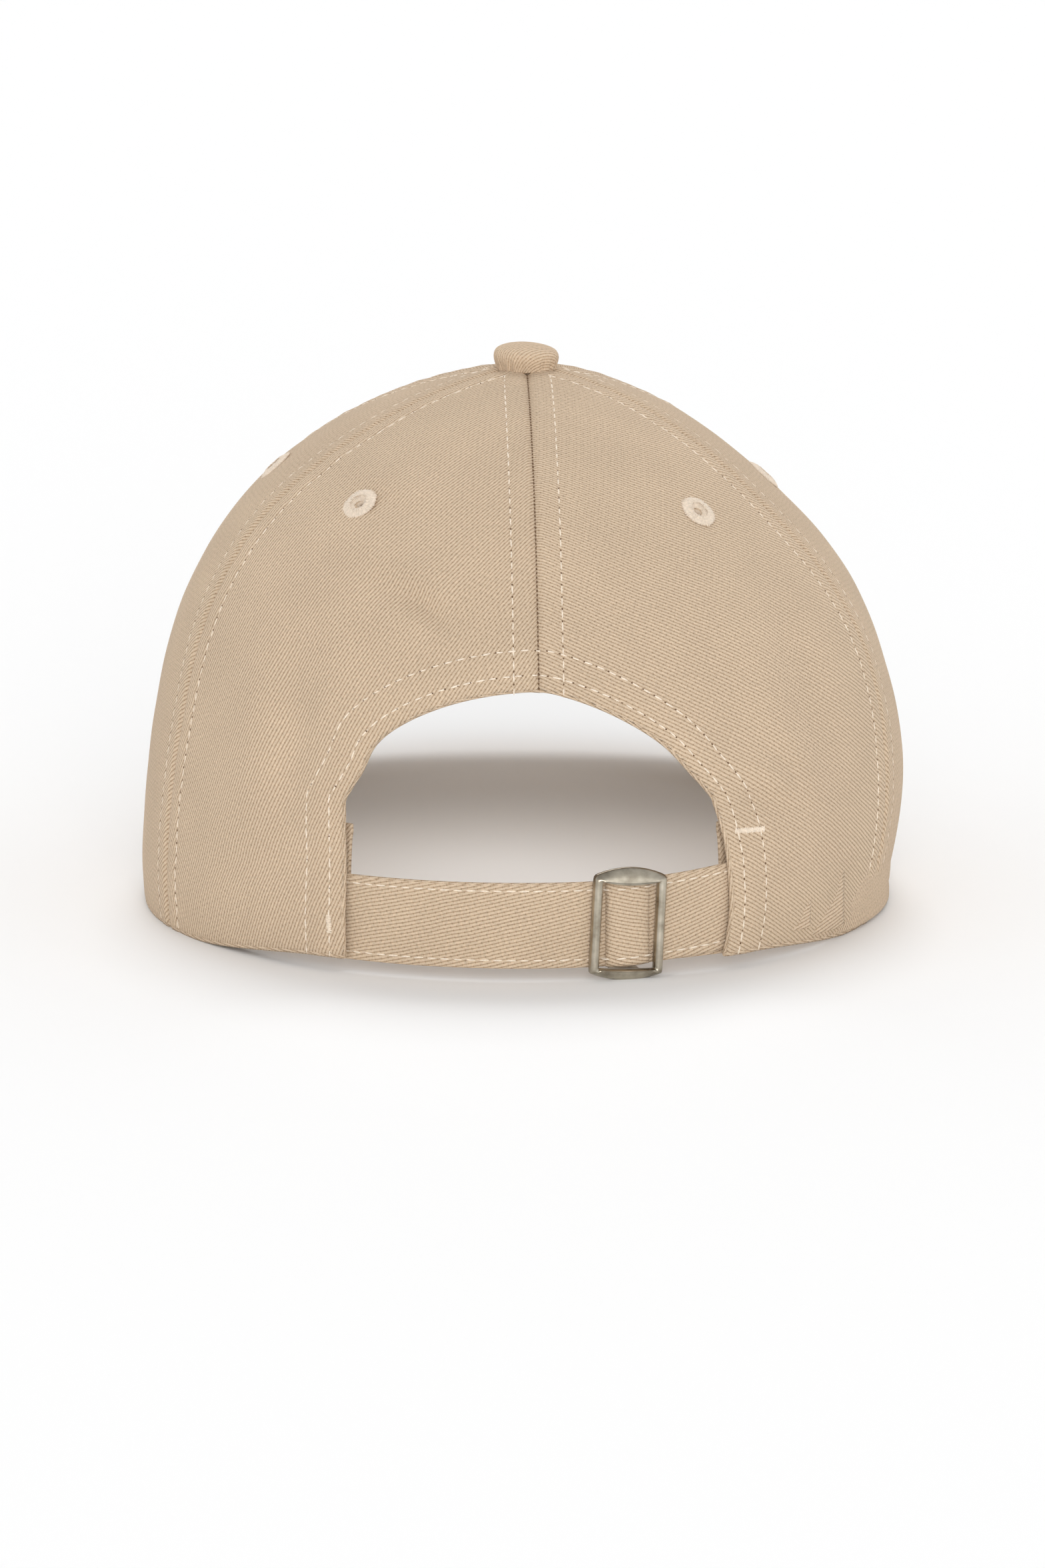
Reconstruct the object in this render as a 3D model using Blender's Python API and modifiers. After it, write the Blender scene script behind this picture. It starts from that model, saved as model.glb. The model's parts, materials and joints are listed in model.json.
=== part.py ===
"""Six-panel cotton baseball cap with a half-moon rear opening and a strap with a slide buckle.

Frame: +Z up, the visor points to -Y, the rear opening faces +Y, and the wearer's left is +X.
The table is z = 0. The back half of the hem is a circle about the Z axis, so the strap and
the buckle that slides on it share that axis.
"""

import bmesh
import bpy
from math import acos, asin, cos, pi, radians, sin, tan
from mathutils import Matrix, Vector

# ---------------------------------------------------------------- driving dimensions (metres)
COLLECTION = "baseball_cap"

HALF_WIDTH = 0.0885          # outside of the hem: half its width, and the radius of its back half
FRONT_LENGTH = 0.1040        # from the Z axis to the hem at the centre front
CROWN_HEIGHT = 0.1245        # table to the top of the crown, under the button
FRONT_ARCH = 0.0360          # how far the hem rises at the centre front, where the visor is sewn
ARCH_END = radians(96)       # where that rise has died out, as an angle from the centre front
BACK_RISE = 0.0030           # how far the hem rises at the rear opening, above the table
RISE_START = radians(118)
RISE_END = radians(148)
SHOULDER = 3.0               # how square the crown's shoulders are
ROUNDNESS = 0.645            # how full the crown's top is

SEAM_FRONT_SIDE = radians(58)    # seams between the panels, as angles from the centre front
SEAM_SIDE_BACK = radians(111)
PANEL_THICKNESS = 0.0010
BUCKRAM_THICKNESS = 0.0006
TAPE_THICKNESS = 0.0006
TAPE_WIDTH = 0.0140
SWEATBAND_THICKNESS = 0.0012
SWEATBAND_HEIGHT = 0.0300
TOP_HOLE_RADIUS = 0.0035     # the hole at the crown's top that the button's rivet goes through

OPENING_HALF_WIDTH = 0.0435  # at the strap
OPENING_LEFT_REACH = 0.0433  # at the foot of the arch, on the wearer's left
OPENING_RIGHT_REACH = 0.0395
OPENING_RIGHT_SPLAY = 0.0031  # how much wider the right edge stands at its foot
OPENING_SPRING = 0.0350      # height above the rear hem where the arch starts
OPENING_RISE = 0.0265        # from there to the top of the arch
OPENING_LEFT_POWER = 1.95
OPENING_RIGHT_POWER = 1.47
BINDING_WIDTH = 0.0085
BINDING_THICKNESS = 0.0006

EYELET_DROP = 0.0255          # how far the eyelets sit below the crown's top
EYELET_BACK_ANGLE = radians(137.5)
EYELET_RADIUS = 0.0045
EYELET_HOLE = 0.0012
EYELET_BARREL_WALL = 0.0006
EYELET_PROUD = 0.0005

VISOR_END = radians(64)      # the visor is sewn to the hem between these angles
VISOR_LENGTH = 0.0720
VISOR_SPLAY = 0.34           # how much of the hem's angle the visor's sides turn outwards
VISOR_BEND_RADIUS = 0.1200
BOARD_THICKNESS = 0.0018
BOARD_INSET = 0.0025
VISOR_COVER_THICKNESS = 0.0008

STRAP_WIDTH = 0.0195
STRAP_THICKNESS = 0.0009
STRAP_DROP = 0.0004          # how far the strap hangs below the rear hem
STRAP_SEWN_LENGTH = 0.0100   # hidden behind the left back panel
STRAP_TAIL_LENGTH = 0.0250   # tucked into the pocket behind the right back panel

BUCKLE_POSITION = 0.0199     # along the strap from the centre back, towards the wearer's right
BUCKLE_WIDTH = 0.0168
BUCKLE_BAR_WIDTH = 0.0020
BUCKLE_BAR_DEPTH = 0.0022
BUCKLE_TOP_PLATE = 0.0034
BUCKLE_BOTTOM_PLATE = 0.0022
BUCKLE_ROUNDING = 0.0004
CENTRE_BAR_RADIUS = 0.0008
TAB_WIDTH = 0.0185
TAB_THICKNESS = 0.0007
TAB_HIDDEN_LENGTH = 0.0400   # the part of the tab inside the pocket
TAB_TURN_BACK = 0.0070       # the turned-back end that is sewn to the tab

BUTTON_RADIUS = 0.0075
BUTTON_BASE_RADIUS = 0.0064
BUTTON_HEIGHT = 0.0058
BUTTON_CLOTH = 0.0006
BUTTON_SHELL = 0.0008
RIVET_RADIUS = 0.0012
WASHER_RADIUS = 0.0060
WASHER_THICKNESS = 0.0008

GAP = 0.0003                 # clearance between neighbouring pieces
SEAM_GAP = 0.00036

CROWN_ROWS = 15
COLUMN_PITCH = 0.0113        # widest facet along the hem

# ---------------------------------------------------------------- colours (linear RGB)
CLOTH = (0.610, 0.462, 0.328)
CLOTH_DARK = (0.545, 0.410, 0.290)
THREAD = (0.690, 0.560, 0.420)
TAPE_CLOTH = (0.640, 0.500, 0.370)
BUCKRAM = (0.780, 0.770, 0.740)
PLASTIC = (0.820, 0.820, 0.800)
NICKEL = (0.360, 0.330, 0.270)
STEEL = (0.560, 0.560, 0.540)


# ---------------------------------------------------------------- scene helpers
def clear_scene():
    for obj in list(bpy.data.objects):
        bpy.data.objects.remove(obj, do_unlink=True)


def new_collection(name):
    collection = bpy.data.collections.new(name)
    bpy.context.scene.collection.children.link(collection)
    return collection


def new_material(name, colour, roughness, metallic=0.0):
    material = bpy.data.materials.new(name)
    material.use_nodes = True
    shader = material.node_tree.nodes["Principled BSDF"]
    shader.inputs["Base Color"].default_value = (*colour, 1.0)
    shader.inputs["Roughness"].default_value = roughness
    shader.inputs["Metallic"].default_value = metallic
    return material


def mesh_object(name, vertices, faces, collection, material=None):
    mesh = bpy.data.meshes.new(name)
    mesh.from_pydata(vertices, [], faces)
    mesh.update()
    obj = bpy.data.objects.new(name, mesh)
    collection.objects.link(obj)
    if material:
        mesh.materials.append(material)
    return obj


def face_outwards(obj):
    """Turns a closed mesh's faces so that they all point out of it."""
    shape = bmesh.new()
    shape.from_mesh(obj.data)
    bmesh.ops.recalc_face_normals(shape, faces=shape.faces[:])
    shape.to_mesh(obj.data)
    shape.free()


def sheet(name, rows, thickness, collection, material):
    """A cloth or board: rows of points make its outer face, and Solidify thickens it inwards.

    Each row runs the same way. The face is outwards when a row runs counter-clockwise seen
    from above and the next row is higher.
    """
    columns = len(rows[0])
    vertices = [point for row in rows for point in row]
    faces = []
    for j in range(len(rows) - 1):
        for i in range(columns - 1):
            corner = j * columns + i
            faces.append((corner, corner + 1, corner + columns + 1, corner + columns))
    obj = mesh_object(name, vertices, faces, collection, material)
    solidify = obj.modifiers.new("Thickness", "SOLIDIFY")
    solidify.thickness = thickness
    solidify.offset = -1.0
    solidify.use_even_offset = True
    return obj


def turned(name, profile, collection, material, steps=18):
    """A solid of revolution about its own Z axis, from (radius, height) pairs, top to bottom.

    The profile starts and ends on the axis, or is a closed loop when it doesn't touch it.
    """
    vertices = [(radius, 0.0, height) for radius, height in profile]
    edges = [(i, i + 1) for i in range(len(vertices) - 1)]
    if profile[0][0] > 0.0:
        edges.append((len(vertices) - 1, 0))
    mesh = bpy.data.meshes.new(name)
    mesh.from_pydata(vertices, edges, [])
    obj = bpy.data.objects.new(name, mesh)
    collection.objects.link(obj)
    mesh.materials.append(material)
    screw = obj.modifiers.new("Turn", "SCREW")
    screw.axis = "Z"
    screw.steps = steps
    screw.render_steps = steps
    screw.use_merge_vertices = True
    screw.merge_threshold = 0.00001
    return obj


def box(name, low, high, collection, material=None):
    """An axis-aligned box in its own frame."""
    corners = [(x, y, z) for z in (low[2], high[2]) for y in (low[1], high[1]) for x in (low[0], high[0])]
    faces = [(0, 2, 3, 1), (4, 5, 7, 6), (0, 1, 5, 4), (2, 6, 7, 3), (0, 4, 6, 2), (1, 3, 7, 5)]
    obj = mesh_object(name, corners, faces, collection, material)
    face_outwards(obj)
    return obj


def mark_cutter(obj):
    obj.hide_render = True
    obj.display_type = "WIRE"


def cut(obj, cutter):
    boolean = obj.modifiers.new("Cut " + cutter.name, "BOOLEAN")
    boolean.operation = "DIFFERENCE"
    boolean.solver = "EXACT"
    boolean.object = cutter


# ---------------------------------------------------------------- the crown's surface
def smoothstep(value, start, end):
    share = min(max((value - start) / (end - start), 0.0), 1.0)
    return share * share * (3.0 - 2.0 * share)


def rim_height(angle):
    """The hem's height: arched at the front, flat at the sides, slightly raised at the back."""
    front = min(abs(angle) / ARCH_END, 1.0)
    arch = FRONT_ARCH * (1.0 + cos(pi * front)) / 2.0
    return arch + BACK_RISE * smoothstep(abs(angle), RISE_START, RISE_END)


def profile(t):
    """The crown's radius and height at t, 0 at the hem and 1 at the top, as shares of the whole."""
    turn = pi / 2.0 * t ** (SHOULDER / 2.0)
    return max(cos(turn), 0.0) ** (2.0 * ROUNDNESS), sin(turn) ** (2.0 / SHOULDER)


def t_at_radius(radius):
    turn = acos((radius / HALF_WIDTH) ** (1.0 / (2.0 * ROUNDNESS)))
    return (2.0 * turn / pi) ** (2.0 / SHOULDER)


def t_at_height(angle, height):
    base = rim_height(angle)
    share = max((height - base) / (CROWN_HEIGHT - base), 0.0)
    return (2.0 / pi * asin(share ** (SHOULDER / 2.0))) ** (2.0 / SHOULDER)


def crown_skin(angle, t):
    radius, rise = profile(t)
    length = FRONT_LENGTH if cos(angle) > 0.0 else HALF_WIDTH
    base = rim_height(angle)
    height = base + (CROWN_HEIGHT - base) * rise
    return Vector((HALF_WIDTH * radius * sin(angle), -length * radius * cos(angle), height))


def crown_normal(angle, t):
    step = 0.0005
    low = max(t - step, 0.0)
    along = crown_skin(angle + step, t) - crown_skin(angle - step, t)
    up = crown_skin(angle, t + step) - crown_skin(angle, low)
    return along.cross(up).normalized()


def crown_point(angle, t, depth=0.0):
    """A point on the crown, depth metres inside its outer face."""
    return crown_skin(angle, t) - crown_normal(angle, t) * depth


def rear_point(side, height, depth=0.0):
    """The point of the rear wall that is side metres towards +X, at a height above the table."""
    angle = pi
    for _ in range(4):
        t = t_at_height(angle, height)
        radius = HALF_WIDTH * profile(t)[0]
        angle = pi - asin(min(max(side / radius, -1.0), 1.0))
        angle = angle if angle <= pi else angle - 2.0 * pi
    return crown_point(angle, t, depth)


def inset_angle(angle, t, distance):
    """The angle that lies distance metres past another, along the crown at t."""
    along = (crown_skin(angle + 0.001, t) - crown_skin(angle - 0.001, t)).length / 0.002
    return angle + distance / along


# ---------------------------------------------------------------- crown panels, tapes and lining
def panel_rows(start, end, depth, t_low, t_high, inset):
    """A grid on the crown between two seams, with its two sides inset from them."""
    columns = max(2, round((end - start) * HALF_WIDTH / COLUMN_PITCH))
    rows = []
    for j in range(CROWN_ROWS + 1):
        t = t_low + (t_high - t_low) * j / CROWN_ROWS
        first = inset_angle(start, t, inset)
        last = inset_angle(end, t, -inset)
        angles = [first + (last - first) * i / columns for i in range(columns + 1)]
        rows.append([crown_point(angle, t, depth) for angle in angles])
    return rows


def opening_edge(share, margin=0.0):
    """A point on the rear opening's edge, as (side, height): share 0 right spring, 1 left spring."""
    turn = pi * share
    right = share < 0.5
    reach = (OPENING_RIGHT_REACH if right else OPENING_LEFT_REACH) + margin
    power = OPENING_RIGHT_POWER if right else OPENING_LEFT_POWER
    side = reach * abs(cos(turn)) ** (2.0 / power)
    rise = (OPENING_RISE + margin) * sin(turn) ** (2.0 / power)
    side = -side if share < 0.5 else side
    return side, BACK_RISE + OPENING_SPRING + rise


def opening_cutter(collection):
    """The half-moon of the rear opening as a prism that runs along Y through the rear wall."""
    steps = 24
    below = -0.01
    right_foot = (-OPENING_RIGHT_REACH - OPENING_RIGHT_SPLAY, below)
    left_foot = (OPENING_LEFT_REACH, below)
    outline = [right_foot] + [opening_edge(i / steps) for i in range(steps + 1)] + [left_foot]
    count = len(outline)
    near = [(side, 0.03, height) for side, height in outline]
    far = [(side, 0.15, height) for side, height in outline]
    faces = [tuple(range(count)), tuple(reversed(range(count, 2 * count)))]
    for i in range(count):
        following = (i + 1) % count
        faces.append((following, i, count + i, count + following))
    cutter = mesh_object("rear_opening_cutter", near + far, faces, collection)
    face_outwards(cutter)
    mark_cutter(cutter)
    return cutter


def eyelet_spots():
    """Where each panel's eyelet sits: its panel's name and its angle."""
    front = SEAM_FRONT_SIDE / 2.0
    side = (SEAM_FRONT_SIDE + SEAM_SIDE_BACK) / 2.0
    return {"front": front, "side": side, "back": EYELET_BACK_ANGLE}


def eyelet_frame(angle):
    """The eyelet's place and direction on the crown, as a matrix whose Z points outwards."""
    t = t_at_height(angle, CROWN_HEIGHT - EYELET_DROP)
    normal = crown_normal(angle, t)
    return Matrix.Translation(crown_skin(angle, t)) @ normal.to_track_quat("Z", "Y").to_matrix().to_4x4()


def build_panels_and_eyelets(parts, cutters, cloth, thread):
    opening = opening_cutter(cutters)
    top = t_at_radius(TOP_HOLE_RADIUS)
    spans = {"front": (0.0, SEAM_FRONT_SIDE), "side": (SEAM_FRONT_SIDE, SEAM_SIDE_BACK), "back": (SEAM_SIDE_BACK, pi)}
    for place, (start, end) in spans.items():
        for hand, sign in (("left", 1), ("right", -1)):
            low, high = sorted((sign * start, sign * end))
            rows = panel_rows(low, high, 0.0, 0.0, top, SEAM_GAP / 2.0)
            panel = sheet(f"crown_panel_{place}_{hand}", rows, PANEL_THICKNESS, parts, cloth)
            if place == "back":
                cut(panel, opening)
            frame = eyelet_frame(sign * eyelet_spots()[place])
            cut(panel, eyelet_hole_cutter(f"{place}_{hand}", frame, cutters))
            build_eyelet(f"eyelet_{place}_{hand}", frame, parts, thread)


def eyelet_hole_cutter(name, frame, cutters):
    radius = EYELET_HOLE + EYELET_BARREL_WALL + GAP
    reach = 0.006
    outline = [(0.0, reach), (radius, reach), (radius, -reach), (0.0, -reach)]
    cutter = turned("eyelet_hole_cutter_" + name, outline, cutters, None, 16)
    cutter.matrix_world = frame
    mark_cutter(cutter)
    return cutter


def build_eyelet(name, frame, parts, thread):
    """A stitched ring through the panel: a flange on the outside and one on the inside."""
    barrel = EYELET_HOLE + EYELET_BARREL_WALL
    outer_low = GAP
    outer_high = outer_low + EYELET_PROUD
    inner_high = -PANEL_THICKNESS - 2.0 * GAP
    inner_low = inner_high - EYELET_PROUD
    inner_radius = EYELET_RADIUS * 0.7
    outline = [
        (EYELET_HOLE, outer_high),
        (EYELET_RADIUS - EYELET_PROUD, outer_high),
        (EYELET_RADIUS, outer_low),
        (barrel, outer_low),
        (barrel, inner_high),
        (inner_radius, inner_high),
        (inner_radius, inner_low),
        (EYELET_HOLE, inner_low),
    ]
    eyelet = turned(name, outline, parts, thread, 14)
    eyelet.matrix_world = frame


def build_buckram(parts, material):
    depth = PANEL_THICKNESS + GAP
    low_t = 0.01
    high_t = t_at_radius(0.022)
    side_inset = 0.002
    for hand, sign in (("left", 1), ("right", -1)):
        low, high = sorted((0.0, sign * SEAM_FRONT_SIDE))
        rows = panel_rows(low, high, depth, low_t, high_t, side_inset)
        piece = sheet("front_buckram_" + hand, rows, BUCKRAM_THICKNESS, parts, material)
        frame = eyelet_frame(sign * eyelet_spots()["front"])
        cut(piece, buckram_hole_cutter(hand, frame))


def buckram_hole_cutter(hand, frame):
    radius = EYELET_RADIUS * 0.7 + GAP
    reach = 0.006
    outline = [(0.0, reach), (radius, reach), (radius, -reach), (0.0, -reach)]
    cutters = bpy.data.collections[COLLECTION + "_cutters"]
    cutter = turned("buckram_hole_cutter_" + hand, outline, cutters, None, 16)
    cutter.matrix_world = frame
    mark_cutter(cutter)
    return cutter


def build_seam_tapes(parts, material):
    """One tape behind each seam. Near the top they narrow, so that the six don't stack."""
    plain = PANEL_THICKNESS + GAP
    over_buckram = plain + BUCKRAM_THICKNESS + GAP
    above_opening = BACK_RISE + OPENING_SPRING + OPENING_RISE + BINDING_WIDTH + 2.0 * GAP
    seams = {
        "centre_front": (0.0, over_buckram, 0.01),
        "front_left": (SEAM_FRONT_SIDE, over_buckram, 0.01),
        "front_right": (-SEAM_FRONT_SIDE, over_buckram, 0.01),
        "back_left": (SEAM_SIDE_BACK, plain, 0.01),
        "back_right": (-SEAM_SIDE_BACK, plain, 0.01),
        "centre_back": (pi, plain, t_at_height(pi, above_opening)),
    }
    end_radius = 0.011
    share = tan(radians(26))
    high = t_at_radius(end_radius)
    for name, (seam, depth, low) in seams.items():
        rows = []
        for j in range(CROWN_ROWS + 1):
            t = low + (high - low) * j / CROWN_ROWS
            half = min(TAPE_WIDTH / 2.0, HALF_WIDTH * profile(t)[0] * share)
            angles = [inset_angle(seam, t, half * i) for i in (-1.0, 0.0, 1.0)]
            rows.append([crown_point(angle, t, depth) for angle in angles])
        sheet("seam_tape_" + name, rows, TAPE_THICKNESS, parts, material)


def strap_base():
    return BACK_RISE - STRAP_DROP


def strap_depth():
    """From the hem's outside to the strap's outer face, which clears the wall's lean at its top."""
    lean = HALF_WIDTH * (1.0 - profile(t_at_height(pi, strap_base() + STRAP_WIDTH))[0])
    return PANEL_THICKNESS + 1.2 * GAP + lean


def sweatband_depth():
    return strap_depth() + STRAP_THICKNESS + GAP + TAB_THICKNESS + 2.0 * GAP


def build_sweatband(parts, material):
    """The band inside the hem, from one side of the rear opening to the other."""
    end = pi - asin((OPENING_HALF_WIDTH + 0.001) / HALF_WIDTH)
    columns = 2 * round(end * HALF_WIDTH / COLUMN_PITCH)
    hem_margin = 0.0008
    levels = 3
    rows = []
    for j in range(levels + 1):
        row = []
        for i in range(columns + 1):
            angle = -end + 2.0 * end * i / columns
            height = rim_height(angle) + hem_margin + (SWEATBAND_HEIGHT - hem_margin) * j / levels
            row.append(crown_point(angle, t_at_height(angle, height), sweatband_depth()))
        rows.append(row)
    sheet("sweatband", rows, SWEATBAND_THICKNESS, parts, material)


def build_opening_binding(parts, material):
    """The tape that faces the rear opening's arch, on the inside of the panels."""
    steps = 24
    depth = PANEL_THICKNESS + GAP
    foot = BACK_RISE + STRAP_WIDTH + 3.0 * GAP
    edge_margin = 0.0006
    rows = []
    for margin in (edge_margin + BINDING_WIDTH, edge_margin + BINDING_WIDTH / 2.0, edge_margin):
        right_foot = (-OPENING_RIGHT_REACH - OPENING_RIGHT_SPLAY / 3.0 - margin, foot)
        left_foot = (OPENING_LEFT_REACH + margin, foot)
        outline = [right_foot] + [opening_edge(i / steps, margin) for i in range(steps + 1)] + [left_foot]
        rows.append([rear_point(side, height, depth) for side, height in outline])
    sheet("opening_binding", rows, BINDING_THICKNESS, parts, material)


# ---------------------------------------------------------------- visor
def visor_length(across):
    """How far the visor reaches from the hem, for across -1 to 1 along it."""
    return VISOR_LENGTH * (1.0 - abs(across) ** 2.8) ** 0.62


def visor_skin(across, out, droop):
    """A point on the visor's middle face: across -1 to 1 along the hem, out 0 at the hem to 1."""
    angle = across * VISOR_END
    start = crown_point(angle, 0.0, -2.0 * GAP)
    turn = VISOR_SPLAY * angle
    forward = out * visor_length(across) * cos(turn)
    side = start.x + out * visor_length(across) * sin(turn)
    bend = (side ** 2 - start.x ** 2) / (2.0 * VISOR_BEND_RADIUS)
    return Vector((side, start.y - forward, start.z - bend - forward * tan(droop)))


def visor_point(across, out, droop, lift):
    step = 0.004
    wide = visor_skin(across + step, out, droop) - visor_skin(across - step, out, droop)
    deep = visor_skin(across, out + step, droop) - visor_skin(across, out - step, droop)
    return visor_skin(across, out, droop) + deep.cross(wide).normalized() * lift


def visor_rows(droop, lift, inset=0.0):
    """A grid on the visor at a height over its middle face, drawn in from its outline by inset."""
    columns = 24
    levels = 6
    widest = 0.985 - inset / (HALF_WIDTH * VISOR_END)
    rows = []
    for j in range(levels + 1):
        row = []
        for i in range(columns + 1):
            across = widest * sin(pi / 2.0 * (2.0 * i / columns - 1.0))
            margin = inset / visor_length(across)
            row.append(visor_point(across, margin + (1.0 - 2.0 * margin) * j / levels, droop, lift))
        rows.append(row)
    return rows


def underside_lift():
    return -(BOARD_THICKNESS / 2.0 + GAP + VISOR_COVER_THICKNESS)


def find_droop():
    """The droop at which the visor's side edges stand on the table with the back of the hem."""
    low, high = radians(-20), radians(40)
    for _ in range(40):
        middle = (low + high) / 2.0
        lowest = min(point.z for row in visor_rows(middle, underside_lift()) for point in row)
        if lowest > 0.0:
            low = middle
        else:
            high = middle
    return low


def build_visor(parts, cloth, plastic):
    droop = find_droop()
    face = BOARD_THICKNESS / 2.0
    top = visor_rows(droop, face + GAP + VISOR_COVER_THICKNESS)
    sheet("visor_top_cover", [list(reversed(row)) for row in top], VISOR_COVER_THICKNESS, parts, cloth)
    board = visor_rows(droop, face, BOARD_INSET)
    sheet("visor_board", [list(reversed(row)) for row in board], BOARD_THICKNESS, parts, plastic)
    sheet("visor_bottom_cover", visor_rows(droop, underside_lift()), VISOR_COVER_THICKNESS, parts, cloth)


# ---------------------------------------------------------------- strap, tab and buckle
def arc_point(angle, depth, height):
    """A point on the back's circle: the angle runs from +Y towards the wearer's right (-X)."""
    radius = HALF_WIDTH - depth
    return Vector((-radius * sin(angle), radius * cos(angle), height))


def build_strap(parts, cloth):
    edge = asin(OPENING_HALF_WIDTH / HALF_WIDTH)
    start = -(edge + STRAP_SEWN_LENGTH / HALF_WIDTH)
    end = edge + STRAP_TAIL_LENGTH / HALF_WIDTH
    columns = round((end - start) / radians(3.0))
    levels = 1
    rows = []
    for j in range(levels + 1):
        height = strap_base() + STRAP_WIDTH * j / levels
        angles = [start + (end - start) * i / columns for i in range(columns + 1)]
        rows.append([arc_point(angle, strap_depth(), height) for angle in angles])
    sheet("strap", rows, STRAP_THICKNESS, parts, cloth)


def buckle_angle():
    return BUCKLE_POSITION / HALF_WIDTH


def centre_bar_depth():
    """From the hem's outside to the middle of the bar that the tab is looped on."""
    return strap_depth() + STRAP_THICKNESS + GAP + TAB_THICKNESS + GAP + CENTRE_BAR_RADIUS


def tab_path():
    """The tab's middle line as (angle, depth): from the pocket, round the centre bar and back."""
    middle_depth = strap_depth() + STRAP_THICKNESS + GAP + TAB_THICKNESS / 2.0
    bar = buckle_angle()
    edge = asin(OPENING_HALF_WIDTH / HALF_WIDTH)
    far = edge + TAB_HIDDEN_LENGTH / HALF_WIDTH
    loop = CENTRE_BAR_RADIUS + GAP + TAB_THICKNESS / 2.0
    radius = HALF_WIDTH - centre_bar_depth()
    steps = round((far - bar) / radians(3.0))
    path = [(far + (bar - far) * i / steps, middle_depth) for i in range(steps + 1)]
    turns = 10
    for i in range(1, turns + 1):
        turn = pi / 2.0 + pi * i / turns
        path.append((bar + loop * cos(turn) / radius, centre_bar_depth() - loop * sin(turn)))
    lap_depth = middle_depth + TAB_THICKNESS + GAP
    lead = 2.5 * loop / radius
    lap = 4
    for i in range(lap + 1):
        angle = bar + lead + TAB_TURN_BACK / radius * i / lap
        path.append((angle, lap_depth))
    return path


def build_tab(parts, cloth):
    low = strap_base() + (STRAP_WIDTH - TAB_WIDTH) / 2.0
    path = tab_path()
    rows = []
    for height in (low, low + TAB_WIDTH):
        rows.append([arc_point(angle, depth, height) for angle, depth in reversed(path)])
    tab = sheet("buckle_tab", rows, TAB_THICKNESS, parts, cloth)
    tab.modifiers["Thickness"].offset = 0.0
    return tab


def build_buckle(parts, cutters, metal):
    """The slide buckle, drawn at the centre back and turned to its place about the Z axis."""
    low = strap_base() - GAP - BUCKLE_BOTTOM_PLATE
    slot_low = strap_base() - GAP
    slot_high = strap_base() + STRAP_WIDTH + GAP
    high = slot_high + BUCKLE_TOP_PLATE
    half = BUCKLE_WIDTH / 2.0
    bars_inner = HALF_WIDTH - strap_depth() + GAP
    bars_outer = bars_inner + BUCKLE_BAR_DEPTH
    back = HALF_WIDTH - centre_bar_depth() - CENTRE_BAR_RADIUS
    beyond = 0.01
    frame = box("buckle_frame", (-half, back, low), (half, bars_outer, high), parts, metal)
    slot = box("strap_slot_cutter", (-beyond, back - beyond, slot_low), (beyond, bars_inner, slot_high), cutters)
    reach = half - BUCKLE_BAR_WIDTH
    window = box("window_cutter", (-reach, back, slot_low), (reach, bars_outer + beyond, slot_high), cutters)
    for cutter in (slot, window):
        mark_cutter(cutter)
        cut(frame, cutter)
    bevel = frame.modifiers.new("Rounding", "BEVEL")
    bevel.width = BUCKLE_ROUNDING
    bevel.segments = 2
    bevel.limit_method = "ANGLE"
    bar_outline = [
        (0.0, slot_high - GAP),
        (CENTRE_BAR_RADIUS, slot_high - GAP),
        (CENTRE_BAR_RADIUS, slot_low + GAP),
        (0.0, slot_low + GAP),
    ]
    bar = turned("buckle_centre_bar", bar_outline, parts, metal, 16)
    bar.location = (0.0, HALF_WIDTH - centre_bar_depth(), 0.0)
    pivot = bpy.data.objects.new("strap_axis", None)
    parts.objects.link(pivot)
    for piece in (frame, slot, window, bar):
        piece.parent = pivot
    pivot.rotation_euler = (0.0, 0.0, buckle_angle())
    return pivot


# ---------------------------------------------------------------- top button
def dome(radius, base_radius, base, height, steps=5):
    """The outline of a flattened ball on a narrower foot, top to bottom."""
    waist = base + height * 0.46
    points = []
    for i in range(steps + 1):
        turn = pi / 2.0 * (1.0 - i / steps)
        points.append((radius * cos(turn) if i else 0.0, waist + (base + height - waist) * sin(turn)))
    foot_steps = 2
    for i in range(1, foot_steps + 1):
        share = i / foot_steps
        points.append((radius + (base_radius - radius) * share ** 2, waist + (base - waist) * share))
    return points


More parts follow.
